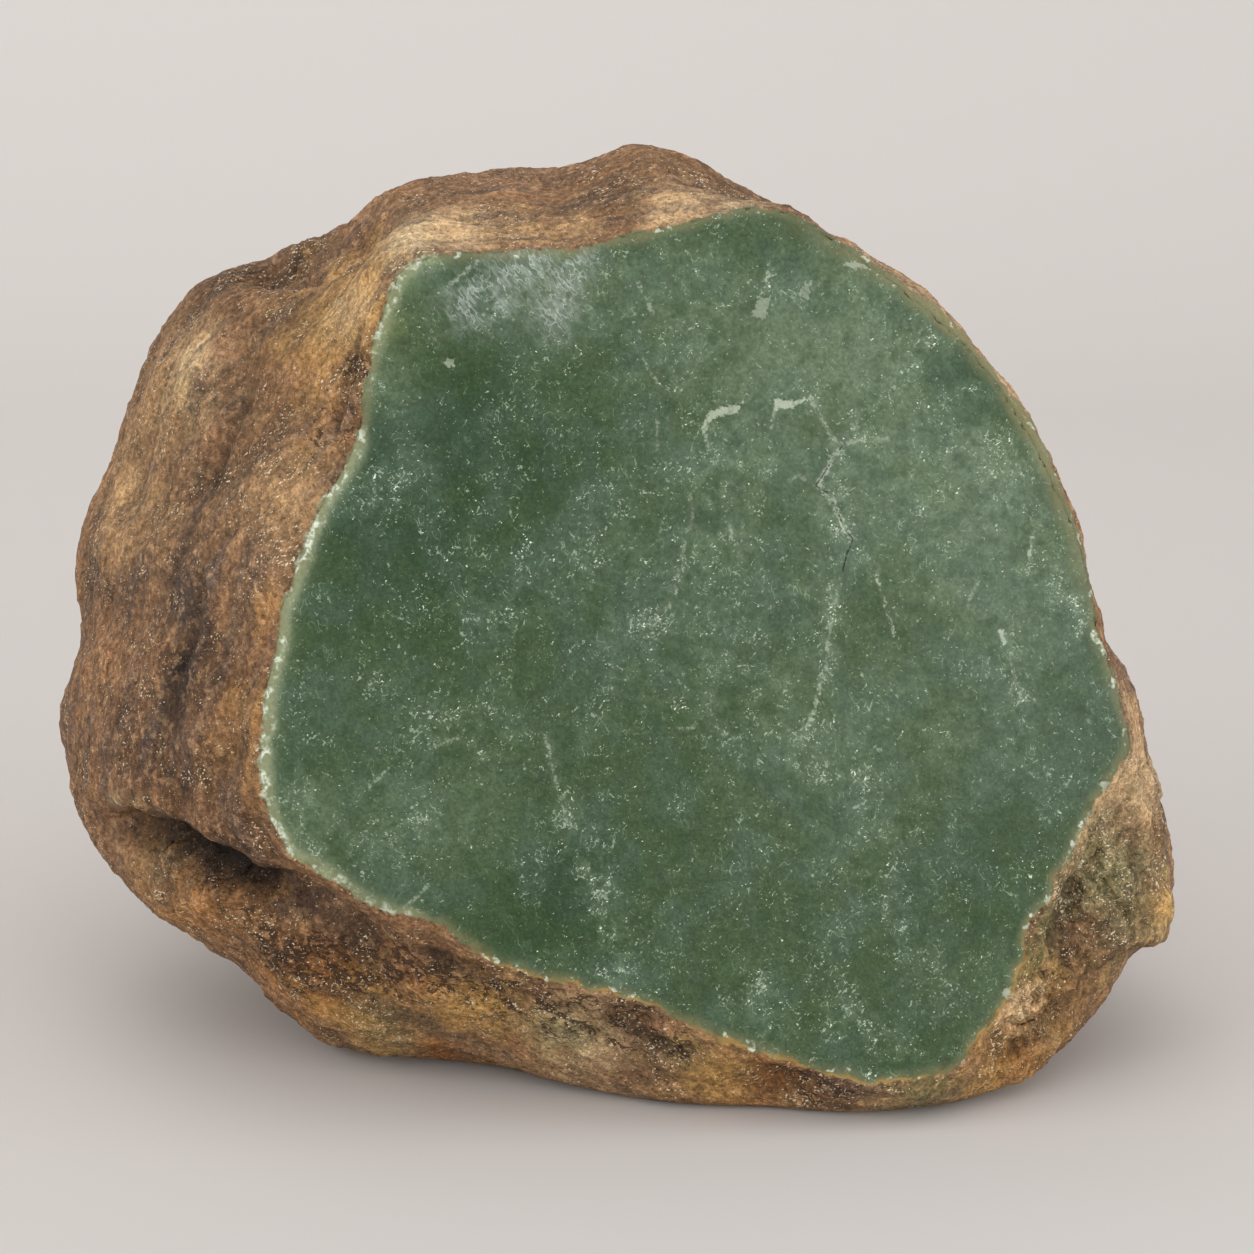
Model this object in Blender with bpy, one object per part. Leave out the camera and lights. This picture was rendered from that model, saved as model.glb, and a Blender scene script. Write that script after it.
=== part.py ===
"""Raw jade boulder.

One water-worn stone with a brown rind. A slice of its front has broken away, and the green jade
shows there as a wide, nearly flat window. The stone is one closed solid made of rings: from the
middle of the window out to its edge, back over the rind to the girdle, which is the stone's
widest line seen square on, and round the back to a last point. The rind is then worn: broad
flats on the back, hollows, swells and furrows, and a flat patch underneath where it rests.
"""

import math

import bmesh
import bpy
import numpy as np
from mathutils import Vector, noise

# ---------------------------------------------------------------------------------------------
# Driving dimensions, in millimetres and degrees.
# Places are given looking square on at the leaning window, as (across, up, deep): to the right,
# up along the window, and away from the viewer, measured from the middle of the window.
# ---------------------------------------------------------------------------------------------

MM = 0.001

WINDOW_LEAN = 16.0          # the window leans back this far from upright
WINDOW_TURN = 6.0           # its right-hand edge is turned this far back
WINDOW_DOME = 3.0           # its middle stands this far proud of its edge
CENTRE = (3.0, -3.0)        # the middle of the window, where the rings start

# The window's edge (across, up), anticlockwise from the right.
WINDOW_EDGE = [
    (112, -3), (110, 6), (108, 16), (105, 25), (101, 33), (93, 49), (82, 64), (69, 76),
    (54, 87), (39, 97), (29, 99), (20, 96), (3, 92), (-13, 88), (-30, 87), (-48, 86),
    (-53, 83), (-58, 70), (-61, 57), (-62, 45), (-65, 38), (-70, 30), (-76, 16), (-81, -4),
    (-85, -24), (-85, -32), (-84, -40), (-81, -49), (-76, -54), (-69, -58), (-56, -67),
    (-43, -69), (-38, -74), (-25, -80), (-11, -84), (3, -87), (19, -95), (39, -102),
    (63, -109), (74, -105), (82, -98), (89, -90), (93, -78), (102, -60), (110, -42),
    (115, -36), (120, -28), (117, -18),
]

# The girdle (across, up, deep), anticlockwise from the right.
GIRDLE = [
    (114, -3, 24), (110, 16, 22), (103, 33, 20), (84, 65, 20), (56, 89, 20), (48, 94, 24),
    (41, 101, 30), (32, 105, 35), (23, 110, 40), (14, 115, 44), (3, 119, 48), (-7, 117, 50),
    (-17, 113, 52), (-39, 113, 56), (-50, 112, 58), (-61, 108, 60), (-70, 101, 62),
    (-92, 92, 64), (-106, 88, 66), (-115, 80, 68), (-122, 69, 69), (-130, 45, 71),
    (-134, 33, 72), (-140, 22, 72), (-139, 8, 72), (-139, -3, 72), (-143, -29, 70),
    (-141, -42, 68), (-136, -54, 67), (-127, -64, 64), (-117, -73, 62), (-105, -79, 60),
    (-96, -86, 59), (-88, -95, 58), (-75, -104, 57), (-61, -106, 55), (-39, -107, 50),
    (-29, -108, 46), (-16, -111, 40), (3, -115, 32), (32, -117, 28), (56, -117, 24),
    (75, -116, 24), (86, -113, 26), (100, -109, 32), (113, -96, 40), (121, -86, 42),
    (132, -78, 44), (134, -64, 43), (134, -51, 42), (131, -38, 38), (126, -25, 34),
]

BACK_CENTRE = (-6.0, -6.0)
BACK_DEPTH = 150.0          # the last point of the back is this far behind the window

# Broad flats worn on the back: the way each one faces, and how much of the stone it took.
BACK_FLATS = [
    ((-0.62, 0.38, 0.69), 9.0),
    ((0.55, 0.48, 0.68), 8.0),
    ((0.10, -0.20, 0.97), 5.0),
    ((-0.45, -0.35, 0.82), 6.0),
    ((0.72, -0.25, 0.64), 7.0),
]
FLAT_SOFTNESS = 5.0

# Swells (+) and hollows (-) of the rind: middle, reach across the surface, height.
SWELLS = [
    ((-108, 60, 32), 13, 3.0),       # pale knob high on the left flank
    ((-78, 92, 22), 9, 2.0),         # lip at the upper left
    ((-98, 88, 54), 14, 2.0),        # lobe behind it
    ((-108, -36, 14), 12, 2.0),      # lip over the crease
    ((-112, -58, 32), 18, 3.0),      # orange lobe under the crease
    ((-93, -68, 18), 12, 2.0),
    ((-60, -96, 30), 14, 1.5),       # lip over the ground at the lower left
    ((-64, 50, 2), 8, -1.5),         # nick beside the window's left edge
    ((-62, -78, 10), 11, -2.5),      # the rind draws back under the window's lower edge
    ((-38, -84, 8), 11, -2.5),
    ((-14, 106, 26), 16, -1.5),      # dip in the top
    ((122, -46, 26), 9, 1.5),        # rough shoulder at the lower right
    ((112, -70, 22), 10, -2.0),
    ((104, -92, 26), 10, 1.5),
    ((-70, -20, 138), 26, 3.0),
    ((28, 60, 122), 20, -3.5),
    ((70, -10, 112), 18, 2.5),
    ((-20, 14, 146), 22, -2.5),
]

# Furrows: the line each one follows, the way its steep side lies, the half width of its gentle
# and of its steep side, and its depth.
FURROWS = [
    # behind the lip at the upper left
    ([(-64, 93, 20), (-74, 89, 25), (-82, 88, 32), (-92, 90, 44)], (0, 0, -1), 10.0, 4.5, 7.5),
    # the crease low on the left flank, under a lip, which runs in under the window's edge
    ([(-124, -46, 36), (-106, -49, 16), (-95, -54, 7), (-85, -60, 4), (-64, -71, 3)],
     (0, 1, 0), 12.0, 3.5, 8.5),
    # down the left flank
    ([(-88, 66, 20), (-94, 48, 17), (-101, 26, 20), (-106, 6, 22)], (1, 0, 0), 8.0, 6.0, 2.2),
    # down the upper left, inside the corner of the flank
    ([(-108, 78, 48), (-116, 46, 44), (-124, 16, 44)], (-1, 0, 0), 8.0, 6.0, 2.0),
    # a healed seam across the back
    ([(-96, 60, 104), (-50, 30, 142), (10, -6, 150), (58, -50, 128)], (0, 1, 0), 6.0, 6.0, 2.0),
]

STEEP = 5.0                 # a side narrower than this needs more points
FURROW_SPACING = (5.0, 3.0)  # their edges are halved while they are longer than this

LUMPS = ((34.0, 1.8), (14.0, 0.7))   # unevenness of the whole rind: size and height
LUMP_START = 14.0                    # it fades in over this distance from the window's edge

REST_HEIGHT = -117.0        # the ground, below the middle of the window
REST_SOFTNESS = 3.0         # the flat underside rounds into the stone over this height

RING_POINTS = 120           # points round the window's edge and the girdle


# ---------------------------------------------------------------------------------------------
# Rings
# ---------------------------------------------------------------------------------------------

def stand(place):
    """A place drawn square on, as it lies on the ground once the window leans back."""
    across, up, deep = place
    lean = math.radians(WINDOW_LEAN)
    return Vector((across,
                   up * math.sin(lean) + deep * math.cos(lean),
                   up * math.cos(lean) - deep * math.sin(lean)))


def by_angle(outline, count):
    """Distance from CENTRE, and depth if the outline has one, at evenly spread angles."""
    outline = np.array(outline, dtype=float)
    away = outline[:, :2] - CENTRE
    angle = np.arctan2(away[:, 1], away[:, 0])
    turn = np.linspace(0.0, 2.0 * math.pi, count, endpoint=False)
    reads = [np.hypot(away[:, 0], away[:, 1])] + list(outline[:, 2:].T)
    return [turn] + [np.interp(turn, angle, read, period=2.0 * math.pi) for read in reads]


def ring(turn, radius, deep, centre=CENTRE):
    across = centre[0] + radius * np.cos(turn)
    up = centre[1] + radius * np.sin(turn)
    return np.column_stack([across, up, deep])


def bezier(start, near, far, end, t):
    s = 1.0 - t
    return s**3 * start + 3.0 * s * s * t * near + 3.0 * s * t * t * far + t**3 * end


def window_deep(across, fraction):
    """How deep the window lies at this share of the way from its middle to its edge."""
    return across * math.tan(math.radians(WINDOW_TURN)) - WINDOW_DOME * (1.0 - fraction**2)


def window_ring(fraction, count):
    turn, radius = by_angle(WINDOW_EDGE, count)
    points = ring(turn, radius * fraction, np.zeros(count))
    points[:, 2] = window_deep(points[:, 0], fraction)
    return points


def shoulder_ring(t):
    """Rind between the window's edge (t = 0) and the girdle (t = 1)."""
    turn, rim = by_angle(WINDOW_EDGE, RING_POINTS)
    turn, girdle, girdle_deep = by_angle(GIRDLE, RING_POINTS)
    rim_deep = window_ring(1.0, RING_POINTS)[:, 2]
    wider = girdle - rim
    deeper = girdle_deep - rim_deep
    radius = bezier(rim, rim + 0.36 * wider, girdle, girdle, t)
    deep = bezier(rim_deep, rim_deep + 0.16 * deeper, rim_deep + 0.66 * deeper, girdle_deep, t)
    return ring(turn, radius, deep)


def back_ring(swing, count):
    """Rind behind the girdle: swing goes from 0 degrees there to 90 at the last point."""
    turn, girdle, girdle_deep = by_angle(GIRDLE, count)
    swing = math.radians(swing)
    radius = girdle * math.cos(swing) ** 0.82
    deep = girdle_deep + math.sin(swing) ** 0.95 * (BACK_DEPTH - girdle_deep)
    share = math.sin(swing) ** 2
    centre = [c + share * (b - c) for c, b in zip(CENTRE, BACK_CENTRE)]
    return ring(turn, radius, deep, centre)


def all_rings():
    """Every ring from the window's middle to the back, with fewer points near both ends."""
    full, half, quarter, eighth = (RING_POINTS // n for n in (1, 2, 4, 8))
    window = [(0.09, eighth), (0.20, quarter), (0.34, half), (0.48, half),
              (0.61, full), (0.74, full), (0.87, full), (0.975, full), (1.0, full)]
    shoulder = (0.05, 0.12, 0.20, 0.28, 0.36, 0.44, 0.52, 0.60, 0.68, 0.76, 0.84, 0.92, 1.0)
    back = [(swing, full) for swing in (5, 10, 15, 20, 25, 31, 37, 43, 49, 55)]
    back += [(61, half), (67, half), (73, quarter), (78, quarter), (84, eighth)]
    rings = [window_ring(fraction, count) for fraction, count in window]
    rings += [shoulder_ring(t) for t in shoulder]
    rings += [back_ring(swing, count) for swing, count in back]
    return rings, len(window)


# ---------------------------------------------------------------------------------------------
# Skin over the rings
# ---------------------------------------------------------------------------------------------

def join(bm, inner, outer):
    """Skins two rings of the same length, or one of twice the other's."""
    if len(outer) < len(inner):
        for i, corner in enumerate(outer):
            after = outer[(i + 1) % len(outer)]
            first, middle, last = (inner[(2 * i + k) % len(inner)] for k in range(3))
            bm.faces.new((first, corner, middle))
            bm.faces.new((corner, after, middle))
            bm.faces.new((middle, after, last))
    elif len(outer) > len(inner):
        for i, corner in enumerate(inner):
            after = inner[(i + 1) % len(inner)]
            first, middle, last = (outer[(2 * i + k) % len(outer)] for k in range(3))
            bm.faces.new((corner, first, middle))
            bm.faces.new((corner, middle, after))
            bm.faces.new((after, middle, last))
    else:
        for i, corner in enumerate(inner):
            j = (i + 1) % len(inner)
            bm.faces.new((corner, outer[i], outer[j], inner[j]))


def cap(bm, point, loop):
    for i, corner in enumerate(loop):
        bm.faces.new((point, corner, loop[(i + 1) % len(loop)]))


def skin():
    """The whole stone before it is worn, and the places of its window's points, edge last."""
    bm = bmesh.new()
    rings, window_rings = all_rings()
    loops = [[bm.verts.new(stand(place)) for place in places] for places in rings]
    front = bm.verts.new(stand((*CENTRE, window_deep(CENTRE[0], 0.0))))
    back = bm.verts.new(stand((*BACK_CENTRE, BACK_DEPTH)))
    cap(bm, front, loops[0])
    for inner, outer in zip(loops, loops[1:]):
        join(bm, inner, outer)
    cap(bm, back, loops[-1][::-1])
    window = [front] + [vert for loop in loops[:window_rings] for vert in loop]
    window = [vert.co.to_tuple(3) for vert in window]
    bmesh.ops.triangulate(bm, faces=bm.faces[:])
    bmesh.ops.recalc_face_normals(bm, faces=bm.faces[:])
    return bm, window


# ---------------------------------------------------------------------------------------------
# Wear
# ---------------------------------------------------------------------------------------------

def soft_limit(height, limit, softness):
    """The height, held below a limit that it rounds into."""
    over = height - limit
    if over > softness:
        return limit
    if over > -softness:
        return height - (over + softness) ** 2 / (4.0 * softness)
    return height


def wear_back(bm):
    for facing, taken in BACK_FLATS:
        facing = stand(facing).normalized()
        limit = max(vert.co.dot(facing) for vert in bm.verts) - taken
        for vert in bm.verts:
            height = vert.co.dot(facing)
            vert.co += (soft_limit(height, limit, FLAT_SOFTNESS) - height) * facing


def from_line(point, line):
    """The shortest way to a point from a line of several stretches."""
    ways = []
    for start, end in zip(line, line[1:]):
        along = end - start
        share = (point - start).dot(along) / along.length_squared
        ways.append(point - start - along * min(max(share, 0.0), 1.0))
    return min(ways, key=lambda way: way.length)


def divide_furrows(bm, window):
    """More points along the furrows with a steep side, which the rings are too wide for."""
    window = set(window)
    for places, steep, gentle_width, steep_width, depth in FURROWS:
        if steep_width > STEEP:
            continue
        line = [stand(place) for place in places]
        for spacing in FURROW_SPACING:
            long_edges = []
            for edge in bm.edges:
                start, end = (vert.co for vert in edge.verts)
                near = from_line((start + end) / 2, line).length < gentle_width
                on_window = {start.to_tuple(3), end.to_tuple(3)} <= window
                if near and edge.calc_length() > spacing and not on_window:
                    long_edges.append(edge)
            bmesh.ops.subdivide_edges(bm, edges=long_edges, cuts=1)
            bmesh.ops.triangulate(bm, faces=[face for face in bm.faces if len(face.verts) > 3])


def fade_in(bm, window):
    """How much each point may move: nothing on the window, everything well behind its edge."""
    rim = np.array(window[-RING_POINTS:])
    window = set(window)
    weights = {}
    for vert in bm.verts:
        nearest = np.min(np.linalg.norm(rim - np.array(vert.co), axis=1))
        on_window = vert.co.to_tuple(3) in window
        weights[vert] = 0.0 if on_window else min(float(nearest) / LUMP_START, 1.0)
    return weights


def shape_rind(bm, weights):
    """Moves each point of the rind along its normal by all the swells, furrows and lumps."""
    bm.normal_update()
    swells = [(stand(place), reach, height) for place, reach, height in SWELLS]
    furrows = [([stand(place) for place in line], stand(steep), widths, depth)
               for line, steep, *widths, depth in FURROWS]
    moves = {}
    for vert in bm.verts:
        move = 0.0
        for place, reach, height in swells:
            move += height * math.exp(-((vert.co - place).length / reach) ** 2)
        for line, steep, (gentle_width, steep_width), depth in furrows:
            way = from_line(vert.co, line)
            share = 0.5 + 0.5 * way.normalized().dot(steep)
            width = gentle_width + share * (steep_width - gentle_width)
            move -= depth * math.exp(-(way.length / width) ** 2)
        for size, height in LUMPS:
            move += height * weights[vert] * noise.noise(vert.co / size)
        moves[vert] = move * min(4.0 * weights[vert], 1.0)
    for vert, move in moves.items():
        vert.co += vert.normal * move


def wear_underside(bm):
    for vert in bm.verts:
        vert.co.z = -soft_limit(-vert.co.z, -REST_HEIGHT, REST_SOFTNESS)


def set_on_origin(bm):
    """Bottom of the stone at z = 0, the middle of its box over the origin, in metres."""
    low = [min(vert.co[axis] for vert in bm.verts) for axis in range(3)]
    high = [max(vert.co[axis] for vert in bm.verts) for axis in range(3)]
    base = Vector(((low[0] + high[0]) / 2, (low[1] + high[1]) / 2, low[2]))
    for vert in bm.verts:
        vert.co = (vert.co - base) * MM
    return base


# ---------------------------------------------------------------------------------------------
# The object
# ---------------------------------------------------------------------------------------------

def stone_material():
    material = bpy.data.materials.new("jade_and_rind")
    material.use_nodes = True
    shader = material.node_tree.nodes["Principled BSDF"]
    shader.inputs["Base Color"].default_value = (0.09, 0.16, 0.08, 1.0)
    shader.inputs["Roughness"].default_value = 0.45
    shader.inputs["Metallic"].default_value = 0.0
    return material


def build_boulder():
    bm, window = skin()
    wear_back(bm)
    divide_furrows(bm, window)
    shape_rind(bm, fade_in(bm, window))
    wear_underside(bm)
    set_on_origin(bm)
    mesh = bpy.data.meshes.new("jade_boulder")
    bm.to_mesh(mesh)
    bm.free()
    mesh.materials.append(stone_material())
    mesh.shade_smooth()
    mesh.set_sharp_from_angle(angle=math.radians(35.0))
    boulder = bpy.data.objects.new("jade_boulder", mesh)
    bpy.context.scene.collection.objects.link(boulder)
    return boulder


for old in list(bpy.data.objects):
    bpy.data.objects.remove(old, do_unlink=True)

boulder = build_boulder()
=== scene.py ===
"""Raw jade boulder, as it looks.

The stone lies on its flat underside with its green window facing the viewer. The file follows the
stone: its body, the folds and relief of its rind, the cracks and flakes of the window, the stains
of the rind, the clouds in the jade, the finish of both, and last the studio around it.
"""

import math

import bmesh
import bpy
import numpy as np
from mathutils import Matrix, Vector, kdtree, noise
from mathutils.bvhtree import BVHTree
from mathutils.interpolate import poly_3d_calc


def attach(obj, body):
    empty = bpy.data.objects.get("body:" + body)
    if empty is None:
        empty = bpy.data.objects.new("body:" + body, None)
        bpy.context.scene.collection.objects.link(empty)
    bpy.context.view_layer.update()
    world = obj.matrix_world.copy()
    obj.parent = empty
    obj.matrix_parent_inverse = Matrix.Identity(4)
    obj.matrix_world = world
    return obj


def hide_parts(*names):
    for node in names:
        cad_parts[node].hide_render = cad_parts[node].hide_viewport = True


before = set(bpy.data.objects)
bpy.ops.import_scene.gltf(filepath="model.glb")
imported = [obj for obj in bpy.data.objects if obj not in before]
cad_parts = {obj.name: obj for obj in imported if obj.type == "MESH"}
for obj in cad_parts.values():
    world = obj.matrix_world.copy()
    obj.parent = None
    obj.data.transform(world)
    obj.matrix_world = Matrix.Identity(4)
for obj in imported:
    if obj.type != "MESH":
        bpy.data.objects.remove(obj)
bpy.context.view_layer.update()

# ---------------------------------------------------------------------------------------------
# The body of the stone: one boulder of jade, tumbled smooth by a river, with a slice of its front
# gone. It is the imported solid, rounded, and is worked on square to the leaning window: in
# millimetres from the window's middle, x across, y deeper into the stone and z up the window.
# ---------------------------------------------------------------------------------------------

MM = 0.001
WINDOW_LEAN = math.radians(16.0)
WINDOW_TURN = math.radians(6.0)
WINDOW_MIDDLE = Vector((0.0046, -0.0625, 0.117))
AS_IT_LIES = (Matrix.Translation(WINDOW_MIDDLE) @ Matrix.Rotation(-WINDOW_LEAN, 4, "X")
              @ Matrix.Scale(MM, 4))
# Straight up from the ground, and how far the ground lies below the window's middle.
GROUND = Vector((0.0, math.sin(-WINDOW_LEAN), math.cos(WINDOW_LEAN)))
GROUND_BELOW = 117.0
# The way that the window faces, and how nearly its faces all do.
WINDOW_FACING = Vector((math.sin(WINDOW_TURN), -math.cos(WINDOW_TURN), 0.0))
WINDOW_FLATNESS = math.cos(math.radians(14.0))
EDGE_CRISPNESS = 0.8
SAME_POINT = 0.001
QUAD_BEND = math.radians(25.0)
QUAD_SKEW = math.radians(60.0)
ROUNDING_LEVELS = 3


def grow_window(bm):
    """The faces of the window: from its middle outwards while they still face its way."""
    start = min(bm.faces, key=lambda face: face.calc_center_median().length)
    window = {start}
    fresh = [start]
    while fresh:
        for edge in fresh.pop().edges:
            for other in edge.link_faces:
                if other not in window and other.normal.dot(WINDOW_FACING) > WINDOW_FLATNESS:
                    window.add(other)
                    fresh.append(other)
    return window


def stone_body(node):
    """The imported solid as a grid, rounded between its points, with the window's edge kept crisp."""
    bm = bmesh.new()
    bm.from_mesh(node.data)
    bmesh.ops.transform(bm, matrix=AS_IT_LIES.inverted(), verts=bm.verts[:])
    bmesh.ops.remove_doubles(bm, verts=bm.verts[:], dist=SAME_POINT)
    bmesh.ops.join_triangles(bm, faces=bm.faces[:], angle_face_threshold=QUAD_BEND,
                             angle_shape_threshold=QUAD_SKEW)
    on_window = bm.faces.layers.int.new("on_window")
    crisp = bm.edges.layers.float.new("crease_edge")
    bm.normal_update()
    window = grow_window(bm)
    for face in bm.faces:
        face[on_window] = int(face in window)
        face.smooth = True
    for edge in bm.edges:
        if sum(face in window for face in edge.link_faces) == 1:
            edge[crisp] = EDGE_CRISPNESS
    mesh = bpy.data.meshes.new("stone")
    bm.to_mesh(mesh)
    bm.free()
    for leftover in ("custom_normal", "sharp_face"):
        if leftover in mesh.attributes:
            mesh.attributes.remove(mesh.attributes[leftover])
    stone = bpy.data.objects.new("stone", mesh)
    bpy.context.scene.collection.objects.link(stone)
    rounding = stone.modifiers.new("rounding", "SUBSURF")
    rounding.levels = rounding.render_levels = ROUNDING_LEVELS
    return stone


def settle(stone):
    """Turns the stone and its modifiers into a plain mesh."""
    depsgraph = bpy.context.evaluated_depsgraph_get()
    mesh = bpy.data.meshes.new_from_object(stone.evaluated_get(depsgraph))
    stone.modifiers.clear()
    stone.data = mesh


def read(mesh, name):
    """One number, or three, for each point of a mesh."""
    if name in ("co", "normal"):
        values = np.empty(len(mesh.vertices) * 3)
        mesh.vertices.foreach_get(name, values)
        return values.reshape(-1, 3)
    values = np.empty(len(mesh.vertices))
    mesh.attributes[name].data.foreach_get("value", values)
    return values


def keep(mesh, name, values):
    """Stores a number, or a colour, for each point, for the finish to read."""
    kind, field = ("FLOAT", "value") if values.ndim == 1 else ("FLOAT_COLOR", "color")
    layer = mesh.attributes.get(name) or mesh.attributes.new(name, kind, "POINT")
    layer.data.foreach_set(field, values.astype(np.float32).ravel())


def edge_distance(mesh):
    """Each point's distance from the window's edge: more than 0 on the window."""
    faces = len(mesh.polygons)
    on_window = np.empty(faces, dtype=np.int32)
    mesh.attributes["on_window"].data.foreach_get("value", on_window)
    starts = np.empty(faces, dtype=np.int32)
    corners = np.empty(len(mesh.loops), dtype=np.int32)
    mesh.polygons.foreach_get("loop_start", starts)
    mesh.loops.foreach_get("vertex_index", corners)
    counts = np.diff(np.append(starts, len(corners)))
    face_of_corner = np.repeat(np.arange(faces), counts)
    seen_window = np.zeros(len(mesh.vertices), dtype=bool)
    seen_rind = np.zeros(len(mesh.vertices), dtype=bool)
    seen_window[corners[on_window[face_of_corner] == 1]] = True
    seen_rind[corners[on_window[face_of_corner] == 0]] = True
    points = read(mesh, "co")
    rim = points[seen_window & seen_rind]
    tree = kdtree.KDTree(len(rim))
    for index, point in enumerate(rim):
        tree.insert(point, index)
    tree.balance()
    distance = np.array([tree.find(point)[2] for point in points])
    return np.where(seen_window & ~seen_rind, distance, -distance)


stone = stone_body(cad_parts["jade_boulder"])
settle(stone)
keep(stone.data, "edge_distance", edge_distance(stone.data))
keep(stone.data, "off_ground", read(stone.data, "co") @ np.array(GROUND) + GROUND_BELOW)

# ---------------------------------------------------------------------------------------------
# Folds of the rind: where the river has cut in under a harder layer. The deepest is the crease
# low on the left flank, whose upper side hangs over as a lip. Painted shade darkens them all.
# ---------------------------------------------------------------------------------------------

LIP_SHARPNESS = 0.5
LIP_LEAN = 0.8
CLEAR_OF_WINDOW = 2.0
TINY = 1e-6

# The places along each (across, deep, up), the way its lip lies, its half width, its depth, how
# far the lip stands out, and how dark the painted shade inside it is.
FOLDS = [
    # the crease, and where it runs on under the window's edge
    ([(-124, 36, -46), (-114, 25, -45), (-105, 20, -49), (-94, 13, -54), (-86, 9, -58)],
     (0, 0, 1), 5.0, 5.0, 1.6, 1.0),
    ([(-86, 9, -58), (-77, 8, -64), (-67, 6, -70)], (0, 0, 1), 3.5, 2.5, 0.6, 0.8),
    ([(-67, 6, -70), (-55, 4, -74), (-45, 3, -76), (-36, 2, -79)], (0, 0, 1), 2.2, 1.6, 0.3, 0.6),
    # the hollow behind the lip at the upper left
    ([(-92, 50, 84), (-83, 45, 88), (-73, 38, 91), (-64, 29, 93)], (0, -1, 0), 4.5, 2.0, 1.2, 0.2),
    # upright furrows down the left flank
    ([(-88, 17, 66), (-91, 15, 54), (-96, 15, 42), (-101, 15, 30), (-104, 17, 14)],
     (1, 0, 0), 3.0, 1.4, 0.4, 0.4),
    ([(-110, 40, 70), (-118, 40, 48), (-125, 42, 24), (-128, 42, 4)], (-1, 0, 0), 3.5, 1.3, 0.4, 0.3),
    ([(-100, 8, 8), (-104, 10, -8), (-106, 10, -22)], (1, 0, 0), 3.0, 1.0, 0.3, 0.4),
    # beside the window's left edge
    ([(-61, -3, 70), (-63, -4, 62), (-65, -4, 54), (-67, -3, 46)], (1, 0, 0), 1.8, 1.0, 0.0, 0.6),
    ([(-87, -6, 6), (-85, -6, 0)], (1, 0, 0), 0.8, 0.5, 0.0, 0.6),
    ([(-90, -3, -33), (-88, -4, -44)], (1, 0, 0), 0.8, 0.5, 0.0, 0.6),
    # below the window
    ([(-14, 1, -88), (-5, 2, -92), (6, 6, -98), (15, 8, -100)], (0, 0, 1), 1.5, 1.0, 0.2, 0.6),
    ([(34, 2, -104), (48, 4, -108), (62, 7, -111)], (0, 0, 1), 2.0, 1.2, 0.3, 0.35),
    # across the top
    ([(-40, 20, 101), (-22, 18, 99), (-4, 16, 101), (12, 12, 99)], (0, -1, 0), 2.5, 1.2, 0.4, 0.3),
    # the rough shoulder
    ([(112, 13, -56), (106, 15, -68), (100, 14, -80), (97, 13, -92)], (-1, 0, 0), 3.0, 1.8, 0.5, 0.3),
    ([(112, 26, -84), (104, 22, -92), (94, 18, -100)], (0, 0, 1), 3.0, 1.6, 0.4, 0.5),
    ([(128, 44, -80), (125, 32, -83), (117, 24, -89)], (0, 0, 1), 6.5, 4.5, 0.8, 0.15),
]


def from_line(points, line):
    """The shortest way to each point from a line of several stretches."""
    line = np.array(line, dtype=float)
    ways = np.full(points.shape, np.inf)
    for start, end in zip(line, line[1:]):
        run = end - start
        share = np.clip((points - start) @ run / (run @ run), 0.0, 1.0)
        way = points - start - share[:, None] * run
        closer = np.linalg.norm(way, axis=1) < np.linalg.norm(ways, axis=1)
        ways[closer] = way[closer]
    return ways


def off_line(points, line):
    """Each point's distance from a line of several stretches."""
    return np.linalg.norm(from_line(points, line), axis=1)


def patch(offsets, reach, strength, uneven=0.0):
    """How strongly a soft round patch shows at these offsets from its middle."""
    off = np.linalg.norm(offsets, axis=1) * (1.0 + uneven) / reach
    return strength * np.exp(-off**2)


def cut_folds(mesh):
    """Presses the folds into the rind, pulls their lips out and marks the painted shade inside them.
    """
    points = read(mesh, "co")
    normals = read(mesh, "normal")
    behind_edge = np.clip(-read(mesh, "edge_distance") / CLEAR_OF_WINDOW, 0.0, 1.0)
    painted_shade = np.zeros(len(points))
    moved = points.copy()
    for line, lip, half_width, depth, overhang, shade_strength in FOLDS:
        ways = from_line(points, line)
        off = np.linalg.norm(ways, axis=1)
        side = ways @ np.array(lip, dtype=float) / np.maximum(off, TINY)
        width = half_width * (1.0 - LIP_SHARPNESS * side)
        inside = np.exp(-(off / width) ** 2)
        on_lip = np.clip(side, 0.0, 1.0) * np.exp(-((off - half_width) / half_width) ** 2)
        out = (overhang * on_lip - depth * inside) * behind_edge
        moved += normals * out[:, None]
        moved -= np.array(lip, dtype=float) * (LIP_LEAN * overhang * on_lip * behind_edge)[:, None]
        painted_shade = np.maximum(painted_shade, shade_strength * inside)
    mesh.vertices.foreach_set("co", moved.ravel())
    keep(mesh, "painted_fold_shade", painted_shade * np.clip(-read(mesh, "edge_distance") + 0.5, 0.0, 1.0))


cut_folds(stone.data)
points = read(stone.data, "co")

# The bevel rubbed along the window's left edge: the places along it and its strength there.
BEVEL_RUNS = [
    ([(-50, 0, 85), (-54, 0, 78), (-58, 0, 69)], 0.8),
    ([(-60, 0, 62), (-62, 0, 50)], 0.15),
    ([(-65, 0, 40), (-72, 0, 27), (-80, 0, 2), (-84, 0, -18), (-85, 0, -34)], 1.0),
    ([(-83, 0, -44), (-78, 0, -53), (-70, 0, -58)], 0.8),
    ([(-66, 0, -61), (-54, 0, -67)], 0.5),
]
BEVEL_REACH = 7.0
bevel = np.zeros(len(points))
for line, strength in BEVEL_RUNS:
    off = off_line(points * (1.0, 0.0, 1.0), line)
    bevel = np.maximum(bevel, strength * np.exp(-(off / BEVEL_REACH) ** 4))
keep(stone.data, "bevel", bevel)

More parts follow.
